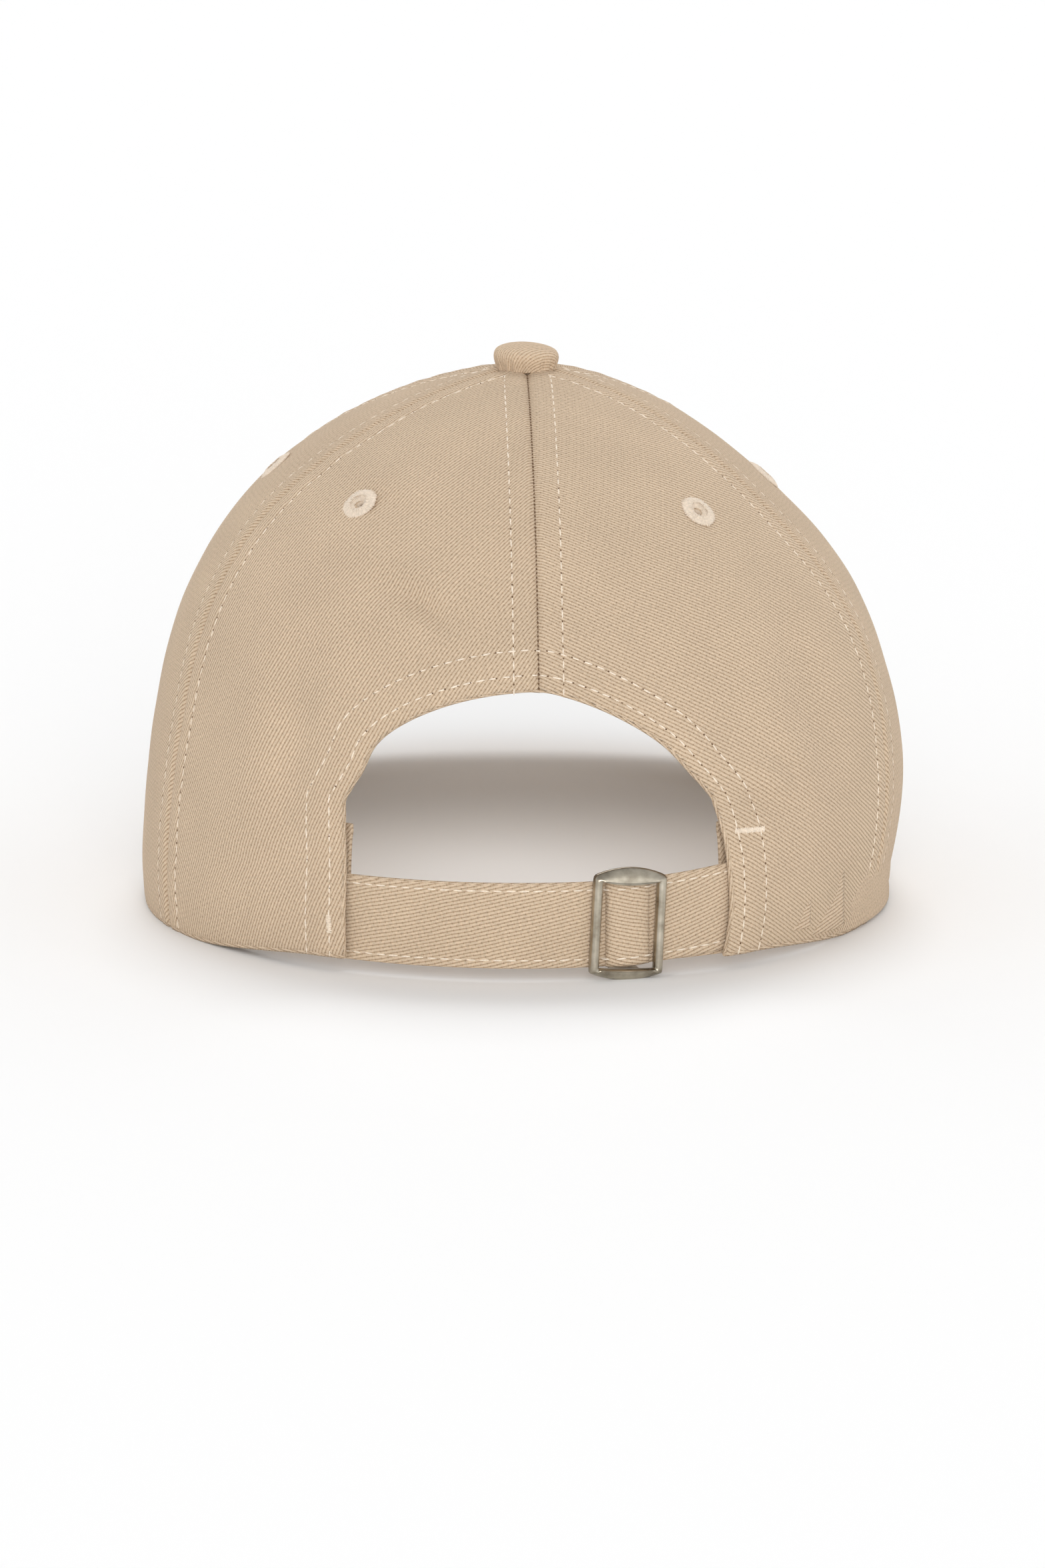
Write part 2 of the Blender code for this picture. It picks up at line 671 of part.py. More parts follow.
def build_button(parts, cloth, metal):
    base = CROWN_HEIGHT + 0.5 * GAP
    outer = dome(BUTTON_RADIUS, BUTTON_BASE_RADIUS, base, BUTTON_HEIGHT)
    inner = dome(BUTTON_RADIUS - BUTTON_CLOTH, BUTTON_BASE_RADIUS - BUTTON_CLOTH, base, BUTTON_HEIGHT - BUTTON_CLOTH)
    turned("button_cover", outer + list(reversed(inner))[:-1] + [(0.0, inner[0][1])], parts, cloth)
    clear = BUTTON_CLOTH + GAP
    shell_base = base + GAP
    shell_outer = dome(BUTTON_RADIUS - clear, BUTTON_BASE_RADIUS - clear, shell_base, BUTTON_HEIGHT - clear - GAP)
    clear += BUTTON_SHELL
    shell_inner = dome(BUTTON_RADIUS - clear, BUTTON_BASE_RADIUS - clear, shell_base,
                       BUTTON_HEIGHT - clear - GAP)
    turned("button_shell", shell_outer + list(reversed(shell_inner))[:-1] + [(0.0, shell_inner[0][1])], parts, metal)
    washer_top = CROWN_HEIGHT - PANEL_THICKNESS - TAPE_THICKNESS - 5.0 * GAP
    rivet_top = shell_inner[0][1] - GAP
    head_radius = RIVET_RADIUS * 2.2
    head = 0.0008
    rivet_bottom = washer_top - WASHER_THICKNESS - head - GAP
    turned("button_rivet", [
        (0.0, rivet_top),
        (head_radius, rivet_top),
        (head_radius, rivet_top - head),
        (RIVET_RADIUS, rivet_top - head),
        (RIVET_RADIUS, rivet_bottom + head),
        (head_radius, rivet_bottom + head),
        (head_radius, rivet_bottom),
        (0.0, rivet_bottom),
    ], parts, metal, 20)
    hole = RIVET_RADIUS + GAP
    turned("button_washer", [
        (hole, washer_top),
        (WASHER_RADIUS, washer_top),
        (WASHER_RADIUS, washer_top - WASHER_THICKNESS),
        (hole, washer_top - WASHER_THICKNESS),
    ], parts, metal)


# ---------------------------------------------------------------- assembly
def main():
    clear_scene()
    parts = new_collection(COLLECTION)
    cutters = new_collection(COLLECTION + "_cutters")
    cloth = new_material("cotton_twill", CLOTH, 0.9)
    button_cloth = new_material("button_twill", CLOTH_DARK, 0.9)
    thread = new_material("embroidery_thread", THREAD, 0.7)
    tape = new_material("tape_twill", TAPE_CLOTH, 0.9)
    band = new_material("sweatband_cotton", CLOTH, 0.92)
    buckram = new_material("buckram", BUCKRAM, 0.95)
    plastic = new_material("visor_board_plastic", PLASTIC, 0.5)
    nickel = new_material("antique_nickel", NICKEL, 0.38, 1.0)
    steel = new_material("button_steel", STEEL, 0.35, 1.0)
    build_panels_and_eyelets(parts, cutters, cloth, thread)
    build_buckram(parts, buckram)
    build_seam_tapes(parts, tape)
    build_sweatband(parts, band)
    build_opening_binding(parts, tape)
    build_visor(parts, cloth, plastic)
    build_strap(parts, cloth)
    build_tab(parts, cloth)
    build_buckle(parts, cutters, nickel)
    build_button(parts, button_cloth, steel)
    for obj in parts.objects:
        if obj.type == "MESH":
            obj.data.shade_smooth()


main()
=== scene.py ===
# %% [markdown]
# # A cotton baseball cap, seen from behind
# This file dresses the cap's working frame. The frame holds the solids, their places and the one
# joint, the buckle that slides on the strap. Here each cloth piece gets its own fine mesh, its
# stitches and its material. The cells run from top to bottom, and each prints what it made.
#
# The frame comes first, and its box is kept.

# %% Load the frame
import json
from math import asin, cos, pi, radians, sin, tan

import bmesh
import bpy
import numpy as np
from mathutils import Matrix, Vector, noise
from mathutils.bvhtree import BVHTree

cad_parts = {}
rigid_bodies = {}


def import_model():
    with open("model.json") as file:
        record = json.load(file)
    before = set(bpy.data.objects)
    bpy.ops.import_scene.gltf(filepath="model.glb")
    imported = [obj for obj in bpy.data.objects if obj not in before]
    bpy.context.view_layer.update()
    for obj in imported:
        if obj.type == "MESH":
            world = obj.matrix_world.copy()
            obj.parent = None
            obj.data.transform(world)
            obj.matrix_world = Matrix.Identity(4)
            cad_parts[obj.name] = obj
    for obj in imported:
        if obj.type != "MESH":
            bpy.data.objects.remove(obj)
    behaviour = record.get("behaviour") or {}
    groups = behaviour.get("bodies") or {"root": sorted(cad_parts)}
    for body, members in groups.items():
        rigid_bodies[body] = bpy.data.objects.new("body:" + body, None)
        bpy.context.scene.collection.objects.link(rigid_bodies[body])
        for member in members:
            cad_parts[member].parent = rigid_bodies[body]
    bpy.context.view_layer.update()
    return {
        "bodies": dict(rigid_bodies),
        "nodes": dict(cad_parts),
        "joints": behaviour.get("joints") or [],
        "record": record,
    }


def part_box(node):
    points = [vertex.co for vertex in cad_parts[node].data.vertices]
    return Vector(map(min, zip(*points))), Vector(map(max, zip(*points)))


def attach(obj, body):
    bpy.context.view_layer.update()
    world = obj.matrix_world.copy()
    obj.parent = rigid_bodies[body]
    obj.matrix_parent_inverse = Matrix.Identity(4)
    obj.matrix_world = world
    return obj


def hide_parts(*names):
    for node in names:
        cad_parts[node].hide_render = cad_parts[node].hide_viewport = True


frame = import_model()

MM = 0.001

# %% [markdown]
# ## Camera
# The cap is looked at from behind and a little above, from far away, so that its sides hardly
# converge. A long lens does that. The camera's small shift puts the cap above the middle of the
# upright picture without tilting the camera.

# %% Camera
CAMERA_DISTANCE = 1.8
CAMERA_ELEVATION = radians(10.85)
CAMERA_YAW = radians(2.0)
LOOK_AT = Vector((0.0, 0.0, 0.060))
VIEW_HEIGHT = 0.3626         # how much of the height at LOOK_AT fits in the picture
SENSOR = 36.0


def make_camera():
    data = bpy.data.cameras.new("camera")
    data.sensor_width = SENSOR
    data.lens = SENSOR * CAMERA_DISTANCE / VIEW_HEIGHT
    data.shift_x = -0.0023
    data.shift_y = -0.0911
    camera = bpy.data.objects.new("camera", data)
    bpy.context.scene.collection.objects.link(camera)
    away = Vector((
        sin(CAMERA_YAW) * cos(CAMERA_ELEVATION),
        cos(CAMERA_YAW) * cos(CAMERA_ELEVATION),
        sin(CAMERA_ELEVATION),
    ))
    camera.location = LOOK_AT + away * CAMERA_DISTANCE
    camera.rotation_euler = away.to_track_quat("Z", "Y").to_euler()
    bpy.context.scene.camera = camera
    return camera


camera = make_camera()
print("lens", round(camera.data.lens), "mm")

# %% [markdown]
# ## Studio
# A plain pale floor, a white world that weakens overhead, and two soft suns.
# The low one, from the camera's side, keeps
# the cloth's colour even, and the high one behind the cap throws its soft shadow forwards.

# %% Floor, world and lights
FLOOR_COLOUR = 0.90
HORIZON_STRENGTH, ZENITH_STRENGTH = 1.30, 0.45
SUN_SPREAD = radians(28)
INNER_FILL = 0.05


def make_floor():
    """A wide flat floor, with nothing standing on it, so that the cap can be seen from all round."""
    half = 30.0
    mesh = bpy.data.meshes.new("studio_floor")
    corners = [(-half, -half, 0.0), (half, -half, 0.0), (half, half, 0.0), (-half, half, 0.0)]
    mesh.from_pydata(corners, [], [(0, 1, 2, 3)])
    floor = bpy.data.objects.new("studio_floor", mesh)
    bpy.context.scene.collection.objects.link(floor)
    material = bpy.data.materials.new("studio_paper")
    material.use_nodes = True
    shader = material.node_tree.nodes["Principled BSDF"]
    shader.inputs["Base Color"].default_value = (FLOOR_COLOUR, FLOOR_COLOUR, FLOOR_COLOUR, 1.0)
    shader.inputs["Roughness"].default_value = 0.9
    mesh.materials.append(material)


def make_sun(name, azimuth, elevation, strength):
    """A soft sun. Azimuth 0 stands over the photographed back of the cap, and 90 at the wearer's right."""
    data = bpy.data.lights.new(name, "SUN")
    data.angle = SUN_SPREAD
    data.energy = strength
    light = bpy.data.objects.new(name, data)
    bpy.context.scene.collection.objects.link(light)
    turn, rise = radians(azimuth), radians(elevation)
    towards = Vector((-sin(turn) * cos(rise), cos(turn) * cos(rise), sin(rise)))
    light.rotation_euler = towards.to_track_quat("Z", "Y").to_euler()


def make_inner_fill():
    """A weak lamp inside the crown, so that the floor seen through the opening isn't black."""
    data = bpy.data.lights.new("inner_fill", "AREA")
    data.shape = "DISK"
    data.size = 0.07
    data.energy = INNER_FILL
    light = bpy.data.objects.new("inner_fill", data)
    bpy.context.scene.collection.objects.link(light)
    light.location = (0.0, -0.01, 0.095)


def make_world():
    """A white world, strongest at the horizon and weaker overhead."""
    world = bpy.data.worlds.new("studio")
    bpy.context.scene.world = world
    world.use_nodes = True
    tree = world.node_tree
    background = tree.nodes["Background"]
    background.inputs["Color"].default_value = (1.0, 1.0, 1.0, 1.0)
    direction = tree.nodes.new("ShaderNodeTexCoord")
    parts = tree.nodes.new("ShaderNodeSeparateXYZ")
    fade = tree.nodes.new("ShaderNodeMapRange")
    fade.inputs["From Min"].default_value = 0.0
    fade.inputs["From Max"].default_value = 1.0
    fade.inputs["To Min"].default_value = HORIZON_STRENGTH
    fade.inputs["To Max"].default_value = ZENITH_STRENGTH
    tree.links.new(direction.outputs["Generated"], parts.inputs[0])
    tree.links.new(parts.outputs["Z"], fade.inputs["Value"])
    tree.links.new(fade.outputs[0], background.inputs["Strength"])


make_floor()
make_sun("front_sun", 2.0, 16.0, 1.05)
make_sun("back_sun", 176.0, 60.0, 1.0)
make_inner_fill()
make_world()
bpy.context.scene.view_settings.view_transform = "Standard"

# %% [markdown]
# ## Materials
# Every finish is built from a few nodes. One helper adds a node with its settings and its links,
# and one turns an sRGB hex value into the linear colour that a shader works in.

# %% Node helpers
def linear(hex_colour):
    """An sRGB hex value such as "CEB69C" as a linear RGBA colour."""
    values = [int(hex_colour[i:i + 2], 16) / 255.0 for i in (0, 2, 4)]
    return tuple(v / 12.92 if v <= 0.04045 else ((v + 0.055) / 1.055) ** 2.4 for v in values) + (1.0,)


def add(material, kind, inputs=None, **settings):
    """Adds a node. An input given as an output socket is linked, and any other is set."""
    node = material.node_tree.nodes.new(kind)
    for name, value in settings.items():
        setattr(node, name, value)
    for key, value in (inputs or {}).items():
        socket = node.inputs[key]
        if isinstance(value, bpy.types.NodeSocket):
            material.node_tree.links.new(value, socket)
        else:
            socket.default_value = value
    return node


def new_material(name, shader_inputs):
    """A material and its Principled shader, whose inputs are set or linked from the values given."""
    material = bpy.data.materials.new(name)
    material.use_nodes = True
    shader = material.node_tree.nodes["Principled BSDF"]
    for key, value in shader_inputs.items():
        shader.inputs[key].default_value = value
    return material, shader


def link(material, output, socket):
    material.node_tree.links.new(output, socket)


# %% [markdown]
# ### Cotton twill
# Twill is a weave whose floats step sideways from row to row, which draws slanted ridges. A smooth
# wave makes the ridges, and a brick pattern breaks each ridge into its floats: one brick is one
# float of yarn. The same height gives the colour: the valleys between ridges and floats are painted
# darker, as painted shade. The ridges of this cloth are about 0.7 mm apart; they are drawn 0.8 mm
# apart, so that they still show from a distance. The pattern reads each piece's own UV map, which
# is in metres of cloth and already turned to the direction that piece was cut in.

# %% Twill cloth
RIDGE = 0.80 * MM
FLOAT_LENGTH = 1.5 * MM
# the colour of the raised floats, and the painted shade that fills the valleys between them
CLOTH_LIGHT = "DAC4AA"
CLOTH_VALLEY_SHADE = "957A5D"


def make_twill(name, light, dark, ridge=RIDGE, depth=0.20 * MM):
    material, shader = new_material(name, {
        "Roughness": 0.9,
        "Sheen Weight": 0.06,
        "Sheen Roughness": 0.5,
        "Specular IOR Level": 0.2,
    })
    coordinates = add(material, "ShaderNodeUVMap", uv_map="cloth").outputs["UV"]
    wander = add(material, "ShaderNodeTexNoise", {"Vector": coordinates, "Scale": 140.0, "Detail": 2.0})
    shift = add(material, "ShaderNodeVectorMath", {0: wander.outputs["Color"], 1: (0.5, 0.5, 0.5)},
                operation="SUBTRACT")
    scaled = add(material, "ShaderNodeVectorMath", {0: shift.outputs[0], "Scale": 0.7 * ridge},
                 operation="SCALE")
    bent = add(material, "ShaderNodeVectorMath", {0: coordinates, 1: scaled.outputs[0]}, operation="ADD")
    # the ridges, as a smooth wave across the cloth's second direction
    axes = add(material, "ShaderNodeSeparateXYZ", {0: bent.outputs[0]})
    phase = add(material, "ShaderNodeMath", {0: axes.outputs["Y"], 1: 2.0 * pi / ridge}, operation="MULTIPLY")
    wave = add(material, "ShaderNodeMath", {0: phase.outputs[0]}, operation="COSINE")
    ridges = add(material, "ShaderNodeMapRange",
                 {"Value": wave.outputs[0], "From Min": -1.0, "From Max": 0.5})
    # the floats that each ridge is made of
    floats = add(material, "ShaderNodeTexBrick", {
        "Vector": bent.outputs[0],
        "Scale": 1.0 / MM,
        "Mortar Size": 0.17 * ridge / MM,
        "Mortar Smooth": 1.0,
        "Brick Width": FLOAT_LENGTH / MM,
        "Row Height": ridge / MM,
    }, offset=0.38, offset_frequency=2, squash=1.0)
    filled = add(material, "ShaderNodeMath", {0: 1.0, 1: floats.outputs["Fac"]}, operation="SUBTRACT")
    height = add(material, "ShaderNodeMath", {0: filled.outputs[0], 1: 0.45, 2: ridges.outputs[0]},
                 operation="MULTIPLY_ADD")
    share = add(material, "ShaderNodeMapRange",
                {"Value": height.outputs[0], "From Min": 0.1, "From Max": 1.3})
    # painted shade: the ramp gives the low valleys between ridges and floats the dark colour, and the raised
    # floats the light one
    weave = add(material, "ShaderNodeValToRGB", {"Fac": share.outputs[0]})
    weave.color_ramp.elements[0].color = linear(dark)
    weave.color_ramp.elements[1].color = linear(light)
    blotch = add(material, "ShaderNodeTexNoise", {"Vector": coordinates, "Scale": 55.0, "Detail": 3.0})
    fibre = add(material, "ShaderNodeTexNoise", {"Vector": coordinates, "Scale": 1500.0, "Detail": 3.0})
    tone = add(material, "ShaderNodeMapRange", {
        "Value": blotch.outputs["Fac"], "From Min": 0.3, "From Max": 0.7, "To Min": 0.96, "To Max": 1.03})
    grain = add(material, "ShaderNodeMapRange", {
        "Value": fibre.outputs["Fac"], "From Min": 0.3, "From Max": 0.7, "To Min": 0.88, "To Max": 1.10})
    both = add(material, "ShaderNodeMath", {0: tone.outputs[0], 1: grain.outputs[0]}, operation="MULTIPLY")
    colour = add(material, "ShaderNodeVectorMath", {
        0: weave.outputs["Color"], "Scale": both.outputs[0]}, operation="SCALE")
    link(material, colour.outputs[0], shader.inputs["Base Color"])
    rough = add(material, "ShaderNodeMath", {0: fibre.outputs["Fac"], 1: 0.45, 2: height.outputs[0]},
                operation="MULTIPLY_ADD")
    bump = add(material, "ShaderNodeBump", {"Height": rough.outputs[0], "Strength": 0.7, "Distance": depth})
    link(material, bump.outputs["Normal"], shader.inputs["Normal"])
    return material


twill = make_twill("cotton_twill_beige", CLOTH_LIGHT, CLOTH_VALLEY_SHADE)
button_twill = make_twill("cotton_button_beige", "DEC7AC", "A88B6D", ridge=0.75 * MM)
tape_twill = make_twill("cotton_tape_beige", "CBB59C", "AE957A", depth=0.1 * MM)
print("twill ridges", RIDGE / MM, "mm apart")

# %% [markdown]
# ### Thread, metal, buckram and plastic
# The stitches are spun polyester thread in cream, a little lighter than the cloth. The needle's
# holes are only shade, so they get a dark, dull finish. The buckle is antique nickel: nickel
# plate, darkened and rubbed back, so that it is satin with fine scratches.

# %% Thread and needle holes
def make_thread(name, colour):
    material, shader = new_material(name, {"Roughness": 0.6, "Sheen Weight": 0.2, "Sheen Roughness": 0.4})
    place = add(material, "ShaderNodeTexCoord").outputs["Object"]
    strands = add(material, "ShaderNodeTexNoise", {"Vector": place, "Scale": 1800.0, "Detail": 1.0})
    shade = add(material, "ShaderNodeMapRange", {
        "Value": strands.outputs["Fac"], "From Min": 0.3, "From Max": 0.7, "To Min": 0.86, "To Max": 1.05})
    tint = add(material, "ShaderNodeVectorMath", {0: linear(colour)[:3], "Scale": shade.outputs[0]},
               operation="SCALE")
    link(material, tint.outputs[0], shader.inputs["Base Color"])
    return material


thread = make_thread("spun_thread_cream", "EBDCC9")
satin_thread = make_thread("satin_thread_cream", "DFCFBC")
hole_shade, _ = new_material("needle_hole_shade", {"Base Color": linear("6B523C"), "Roughness": 1.0})


# %% Antique nickel
def make_nickel(name, light, dark, roughness):
    material, shader = new_material(name, {"Metallic": 1.0, "Roughness": roughness})
    place = add(material, "ShaderNodeTexCoord").outputs["Object"]
    cloud = add(material, "ShaderNodeTexNoise", {"Vector": place, "Scale": 260.0, "Detail": 5.0})
    ramp = add(material, "ShaderNodeValToRGB", {"Fac": cloud.outputs["Fac"]})
    ramp.color_ramp.elements[0].position = 0.35
    ramp.color_ramp.elements[0].color = linear(dark)
    ramp.color_ramp.elements[1].position = 0.62
    ramp.color_ramp.elements[1].color = linear(light)
    link(material, ramp.outputs["Color"], shader.inputs["Base Color"])
    stretch = add(material, "ShaderNodeMapping", {"Vector": place, "Scale": (1.0, 1.0, 0.12)})
    scratch = add(material, "ShaderNodeTexNoise",
                  {"Vector": stretch.outputs["Vector"], "Scale": 5000.0, "Detail": 2.0})
    bump = add(material, "ShaderNodeBump", {"Height": scratch.outputs["Fac"], "Strength": 0.35,
                                            "Distance": 0.03 * MM})
    link(material, bump.outputs["Normal"], shader.inputs["Normal"])
    rubbed = add(material, "ShaderNodeMapRange", {
        "Value": cloud.outputs["Fac"], "To Min": roughness - 0.08, "To Max": roughness + 0.12})
    link(material, rubbed.outputs[0], shader.inputs["Roughness"])
    return material


nickel = make_nickel("antique_nickel", "C0B8A8", "968D7D", 0.28)
steel = make_nickel("zinc_plated_steel", "BDBDB8", "8F8F8A", 0.35)


# %% Buckram and board
def make_buckram():
    """Buckram is an open plain weave stiffened with size: a fine grid of dull off-white yarns."""
    material, shader = new_material("sized_buckram", {"Roughness": 0.95})
    place = add(material, "ShaderNodeUVMap", uv_map="cloth").outputs["UV"]
    mesh = add(material, "ShaderNodeTexBrick", {
        "Vector": place, "Color1": linear("E4E0D8"), "Color2": linear("DDD8CE"), "Mortar": linear("B9B2A4"),
        "Scale": 1.0 / MM, "Mortar Size": 0.22, "Mortar Smooth": 0.6, "Brick Width": 1.1, "Row Height": 1.1,
    }, offset=0.0)
    link(material, mesh.outputs["Color"], shader.inputs["Base Color"])
    bump = add(material, "ShaderNodeBump", {"Height": mesh.outputs["Fac"], "Strength": 0.6,
                                            "Distance": 0.1 * MM})
    bump.invert = True
    link(material, bump.outputs["Normal"], shader.inputs["Normal"])
    return material


def make_board_plastic():
    material, shader = new_material("moulded_polyethylene_white", {"Roughness": 0.45, "IOR": 1.51})
    place = add(material, "ShaderNodeTexCoord").outputs["Object"]
    haze = add(material, "ShaderNodeTexNoise", {"Vector": place, "Scale": 90.0, "Detail": 3.0})
    ramp = add(material, "ShaderNodeValToRGB", {"Fac": haze.outputs["Fac"]})
    ramp.color_ramp.elements[0].color = linear("DEDEDA")
    ramp.color_ramp.elements[1].color = linear("F0F0EC")
    link(material, ramp.outputs["Color"], shader.inputs["Base Color"])
    return material


buckram = make_buckram()
board_plastic = make_board_plastic()
print(len(bpy.data.materials), "materials")

# %% [markdown]
# ## The crown's surface
# The crown is one smooth surface that all its pieces share. A point on it is named by its angle
# from the centre front and by t, 0 at the hem and 1 at the top. The values are the working
# frame's own sizes, and the printed line shows the frame's box. The functions work on
# whole arrays of points at once, because the cloth meshes have thousands.

# %% Crown surface
HALF_WIDTH = 88.5 * MM
FRONT_LENGTH = 104.0 * MM
CROWN_HEIGHT = 124.5 * MM
FRONT_ARCH = 36.0 * MM
ARCH_END = radians(96)
BACK_RISE = 3.0 * MM
RISE_START, RISE_END = radians(118), radians(148)
SHOULDER = 3.0
ROUNDNESS = 0.645
SEAM_FRONT_SIDE, SEAM_SIDE_BACK = radians(58), radians(111)
CLOTH_THICKNESS = 1.0 * MM


def smoothstep(value, start, end):
    share = np.clip((value - start) / (end - start), 0.0, 1.0)
    return share * share * (3.0 - 2.0 * share)


def bell(distance, width):
    return np.exp(-(distance / width) ** 2)


def rim_height(angle):
    front = np.minimum(np.abs(angle) / ARCH_END, 1.0)
    return FRONT_ARCH * (1.0 + np.cos(pi * front)) / 2.0 + BACK_RISE * smoothstep(np.abs(angle), RISE_START,
                                                                                  RISE_END)


def wrapped(angle):
    """The same direction as an angle from -180 to 180 degrees."""
    return (np.asarray(angle) + pi) % (2.0 * pi) - pi


def profile(t):
    turn = pi / 2.0 * np.clip(t, 0.0, 1.0) ** (SHOULDER / 2.0)
    return np.clip(np.cos(turn), 0.0, 1.0) ** (2.0 * ROUNDNESS), np.sin(turn) ** (2.0 / SHOULDER)


def t_at_radius(radius):
    turn = np.arccos((radius / HALF_WIDTH) ** (1.0 / (2.0 * ROUNDNESS)))
    return (2.0 * turn / pi) ** (2.0 / SHOULDER)


def t_at_height(angle, height):
    base = rim_height(wrapped(angle))
    share = np.clip((height - base) / (CROWN_HEIGHT - base), 0.0, 1.0)
    return (2.0 / pi * np.arcsin(share ** (SHOULDER / 2.0))) ** (2.0 / SHOULDER)


def crown_skin(angle, t):
    angle = wrapped(angle)
    radius, rise = profile(t)
    length = np.where(np.cos(angle) > 0.0, FRONT_LENGTH, HALF_WIDTH)
    base = rim_height(angle)
    height = base + (CROWN_HEIGHT - base) * rise
    return np.stack([HALF_WIDTH * radius * np.sin(angle), -length * radius * np.cos(angle), height], axis=-1)


def unit(vectors):
    return vectors / np.linalg.norm(vectors, axis=-1, keepdims=True)


def crown_normal(angle, t):
    step = 0.0005
    low, high = np.maximum(t - step, 0.0), np.minimum(t + step, 1.0)
    along = crown_skin(angle + step, t) - crown_skin(angle - step, t)
    return unit(np.cross(along, crown_skin(angle, high) - crown_skin(angle, low)))


def crown_point(angle, t, depth=0.0):
    return crown_skin(angle, t) - crown_normal(angle, t) * depth


def rear_place(side, height):
    """The (angle, t) of the rear wall's points at a distance towards +X and a height."""
    side, height = np.asarray(side, float), np.asarray(height, float)
    angle = np.full(side.shape, pi)
    for _ in range(4):
        t = t_at_height(angle, height)
        angle = pi - np.arcsin(np.clip(side / (HALF_WIDTH * profile(t)[0]), -1.0, 1.0))
    return angle, t


side_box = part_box("crown_panel_side_left")
front_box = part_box("crown_panel_front_left")
print("hem half width", round(side_box[1].x / MM, 2), "front", round(-front_box[0].y / MM, 2),
      "top", round(front_box[1].z / MM, 2), "mm in the frame")

# %% [markdown]
# ## The rear opening
# The opening is a half-moon: a flat-topped arch on two upright edges that run down to the hem.
# Its outline is a formula, so the cut, the folded edge, the two rows of stitches and the relief
# around it all follow the same curve.

# %% Opening outline
OPENING_HALF_WIDTH = 43.5 * MM
OPENING_SPRING = 35.0 * MM
OPENING_RISE = 26.5 * MM
# for the wearer's right and left: the superellipse's power, and how much the flank is drawn in
OPENING_POWER = (1.47, 1.95)
OPENING_PINCH = (0.035, 0.050)
STRAP_WIDTH = 19.5 * MM
STRAP_BASE = BACK_RISE - 0.4 * MM


def opening_leg(right, height):
    """How far the opening's edge stands from the middle, below the arch. The right one bows."""
    bowed = 43.2 * MM - 1.6 * MM * ((height - 16.5 * MM) / (14.0 * MM)) ** 2
    return np.where(right, bowed, 43.3 * MM)


def opening_outline(margin=0.0, foot=0.0, steps=110):
    """Points (side, height) round the opening from its foot on -X over the arch to its foot on +X."""
    turn = np.linspace(0.0, pi, steps)
    spring = BACK_RISE + OPENING_SPRING
    right = turn < pi / 2.0
    power = np.where(right, *OPENING_POWER)
    level = np.sin(turn) ** (2.0 / power)
    pinch = np.where(right, *OPENING_PINCH) * bell(level - 0.30, 0.20) * smoothstep(level, 0.0, 0.12)
    reach = opening_leg(right, np.full(steps, spring)) + margin
    side = -np.sign(np.cos(turn)) * reach * np.abs(np.cos(turn)) ** (2.0 / power) * (1.0 - pinch)
    height = spring + (OPENING_RISE + margin) * level
    legs = np.linspace(foot, spring, 24)[:-1]
    side = np.concatenate([-opening_leg(True, legs) - margin, side, opening_leg(False, legs)[::-1] + margin])
    height = np.concatenate([legs, height, legs[::-1]])
    return side, height


def opening_curve(margin=0.0, foot=0.0, depth=0.0):
    angle, t = rear_place(*opening_outline(margin, foot))
    return angle, t, crown_point(angle, t, depth)


opening_edge = opening_curve()[2]
print("opening", round(2 * OPENING_HALF_WIDTH / MM), "mm wide,",
      round((OPENING_SPRING + OPENING_RISE) / MM), "mm high")

# %% [markdown]
# ## Relief in the cloth
# Real cloth is never quite the smooth surface it was cut for. Along each seam the edges dip, the
# seam allowances behind them raise a band as wide as the gap to the topstitching, and the thread
# draws the cloth into small puckers. The hem stands a little proud over the sweatband. On top of
# that lie a few soft dents and folds, and broad unevenness from being handled.

# %% Relief function
STITCH_FROM_SEAM = 5.5 * MM
OPENING_ROWS = (3.0 * MM, 8.2 * MM)
DENTS = (
    # side, height, long half-axis, short half-axis, slant in degrees, depth
    (27.0, 82.0, 12.0, 2.6, -18.0, 1.15),
    (23.0, 79.0, 7.0, 1.8, -42.0, 0.80),
    (32.0, 100.0, 15.0, 2.2, -10.0, 0.60),
    (54.0, 50.0, 20.0, 4.5, 84.0, 1.50),
    (-52.0, 37.0, 8.0, 2.6, -25.0, 1.50),
    (-56.0, 43.0, 9.0, 2.2, -55.0, 0.80),
    (-60.0, 62.0, 16.0, 5.0, -70.0, 1.10),
    (-22.0, 84.0, 14.0, 5.0, 25.0, 0.30),
    (62.0, 22.0, 14.0, 4.0, 15.0, 0.45),
    (-66.0, 20.0, 12.0, 4.0, -30.0, 0.50),
)


def seam_relief(distance, along):
    """Relief beside a seam, from the distance to it and the distance along it."""
    dip = -0.55 * MM * bell(distance, 0.75 * MM)
    band = 0.22 * MM * (1.0 - smoothstep(distance, 4.6 * MM, 6.2 * MM)) * smoothstep(distance, 0.3 * MM,
                                                                                     1.6 * MM)
    row = -0.14 * MM * bell(distance - STITCH_FROM_SEAM, 0.65 * MM)
    wave = np.sin(2.0 * pi * along / (5.8 * MM)) + 0.6 * np.sin(2.0 * pi * along / (8.7 * MM) + 1.3)
    pucker = 0.07 * MM * wave * bell(distance - 3.6 * MM, 3.4 * MM)
    return dip + band + row + pucker


def opening_relief(distance, along):
    first, second = OPENING_ROWS
    rows = -0.16 * MM * (bell(distance - first, 0.7 * MM) + bell(distance - second, 0.7 * MM))
    band = 0.30 * MM * (1.0 - smoothstep(distance, second, second + 1.4 * MM))
    wave = np.sin(2.0 * pi * along / (6.6 * MM)) + 0.7 * np.sin(2.0 * pi * along / (10.3 * MM) + 0.6)
    pucker = 0.11 * MM * wave * bell(distance - 5.0 * MM, 3.4 * MM)
    fold = -0.30 * MM * bell(distance, 0.6 * MM)
    return rows + band + pucker + fold


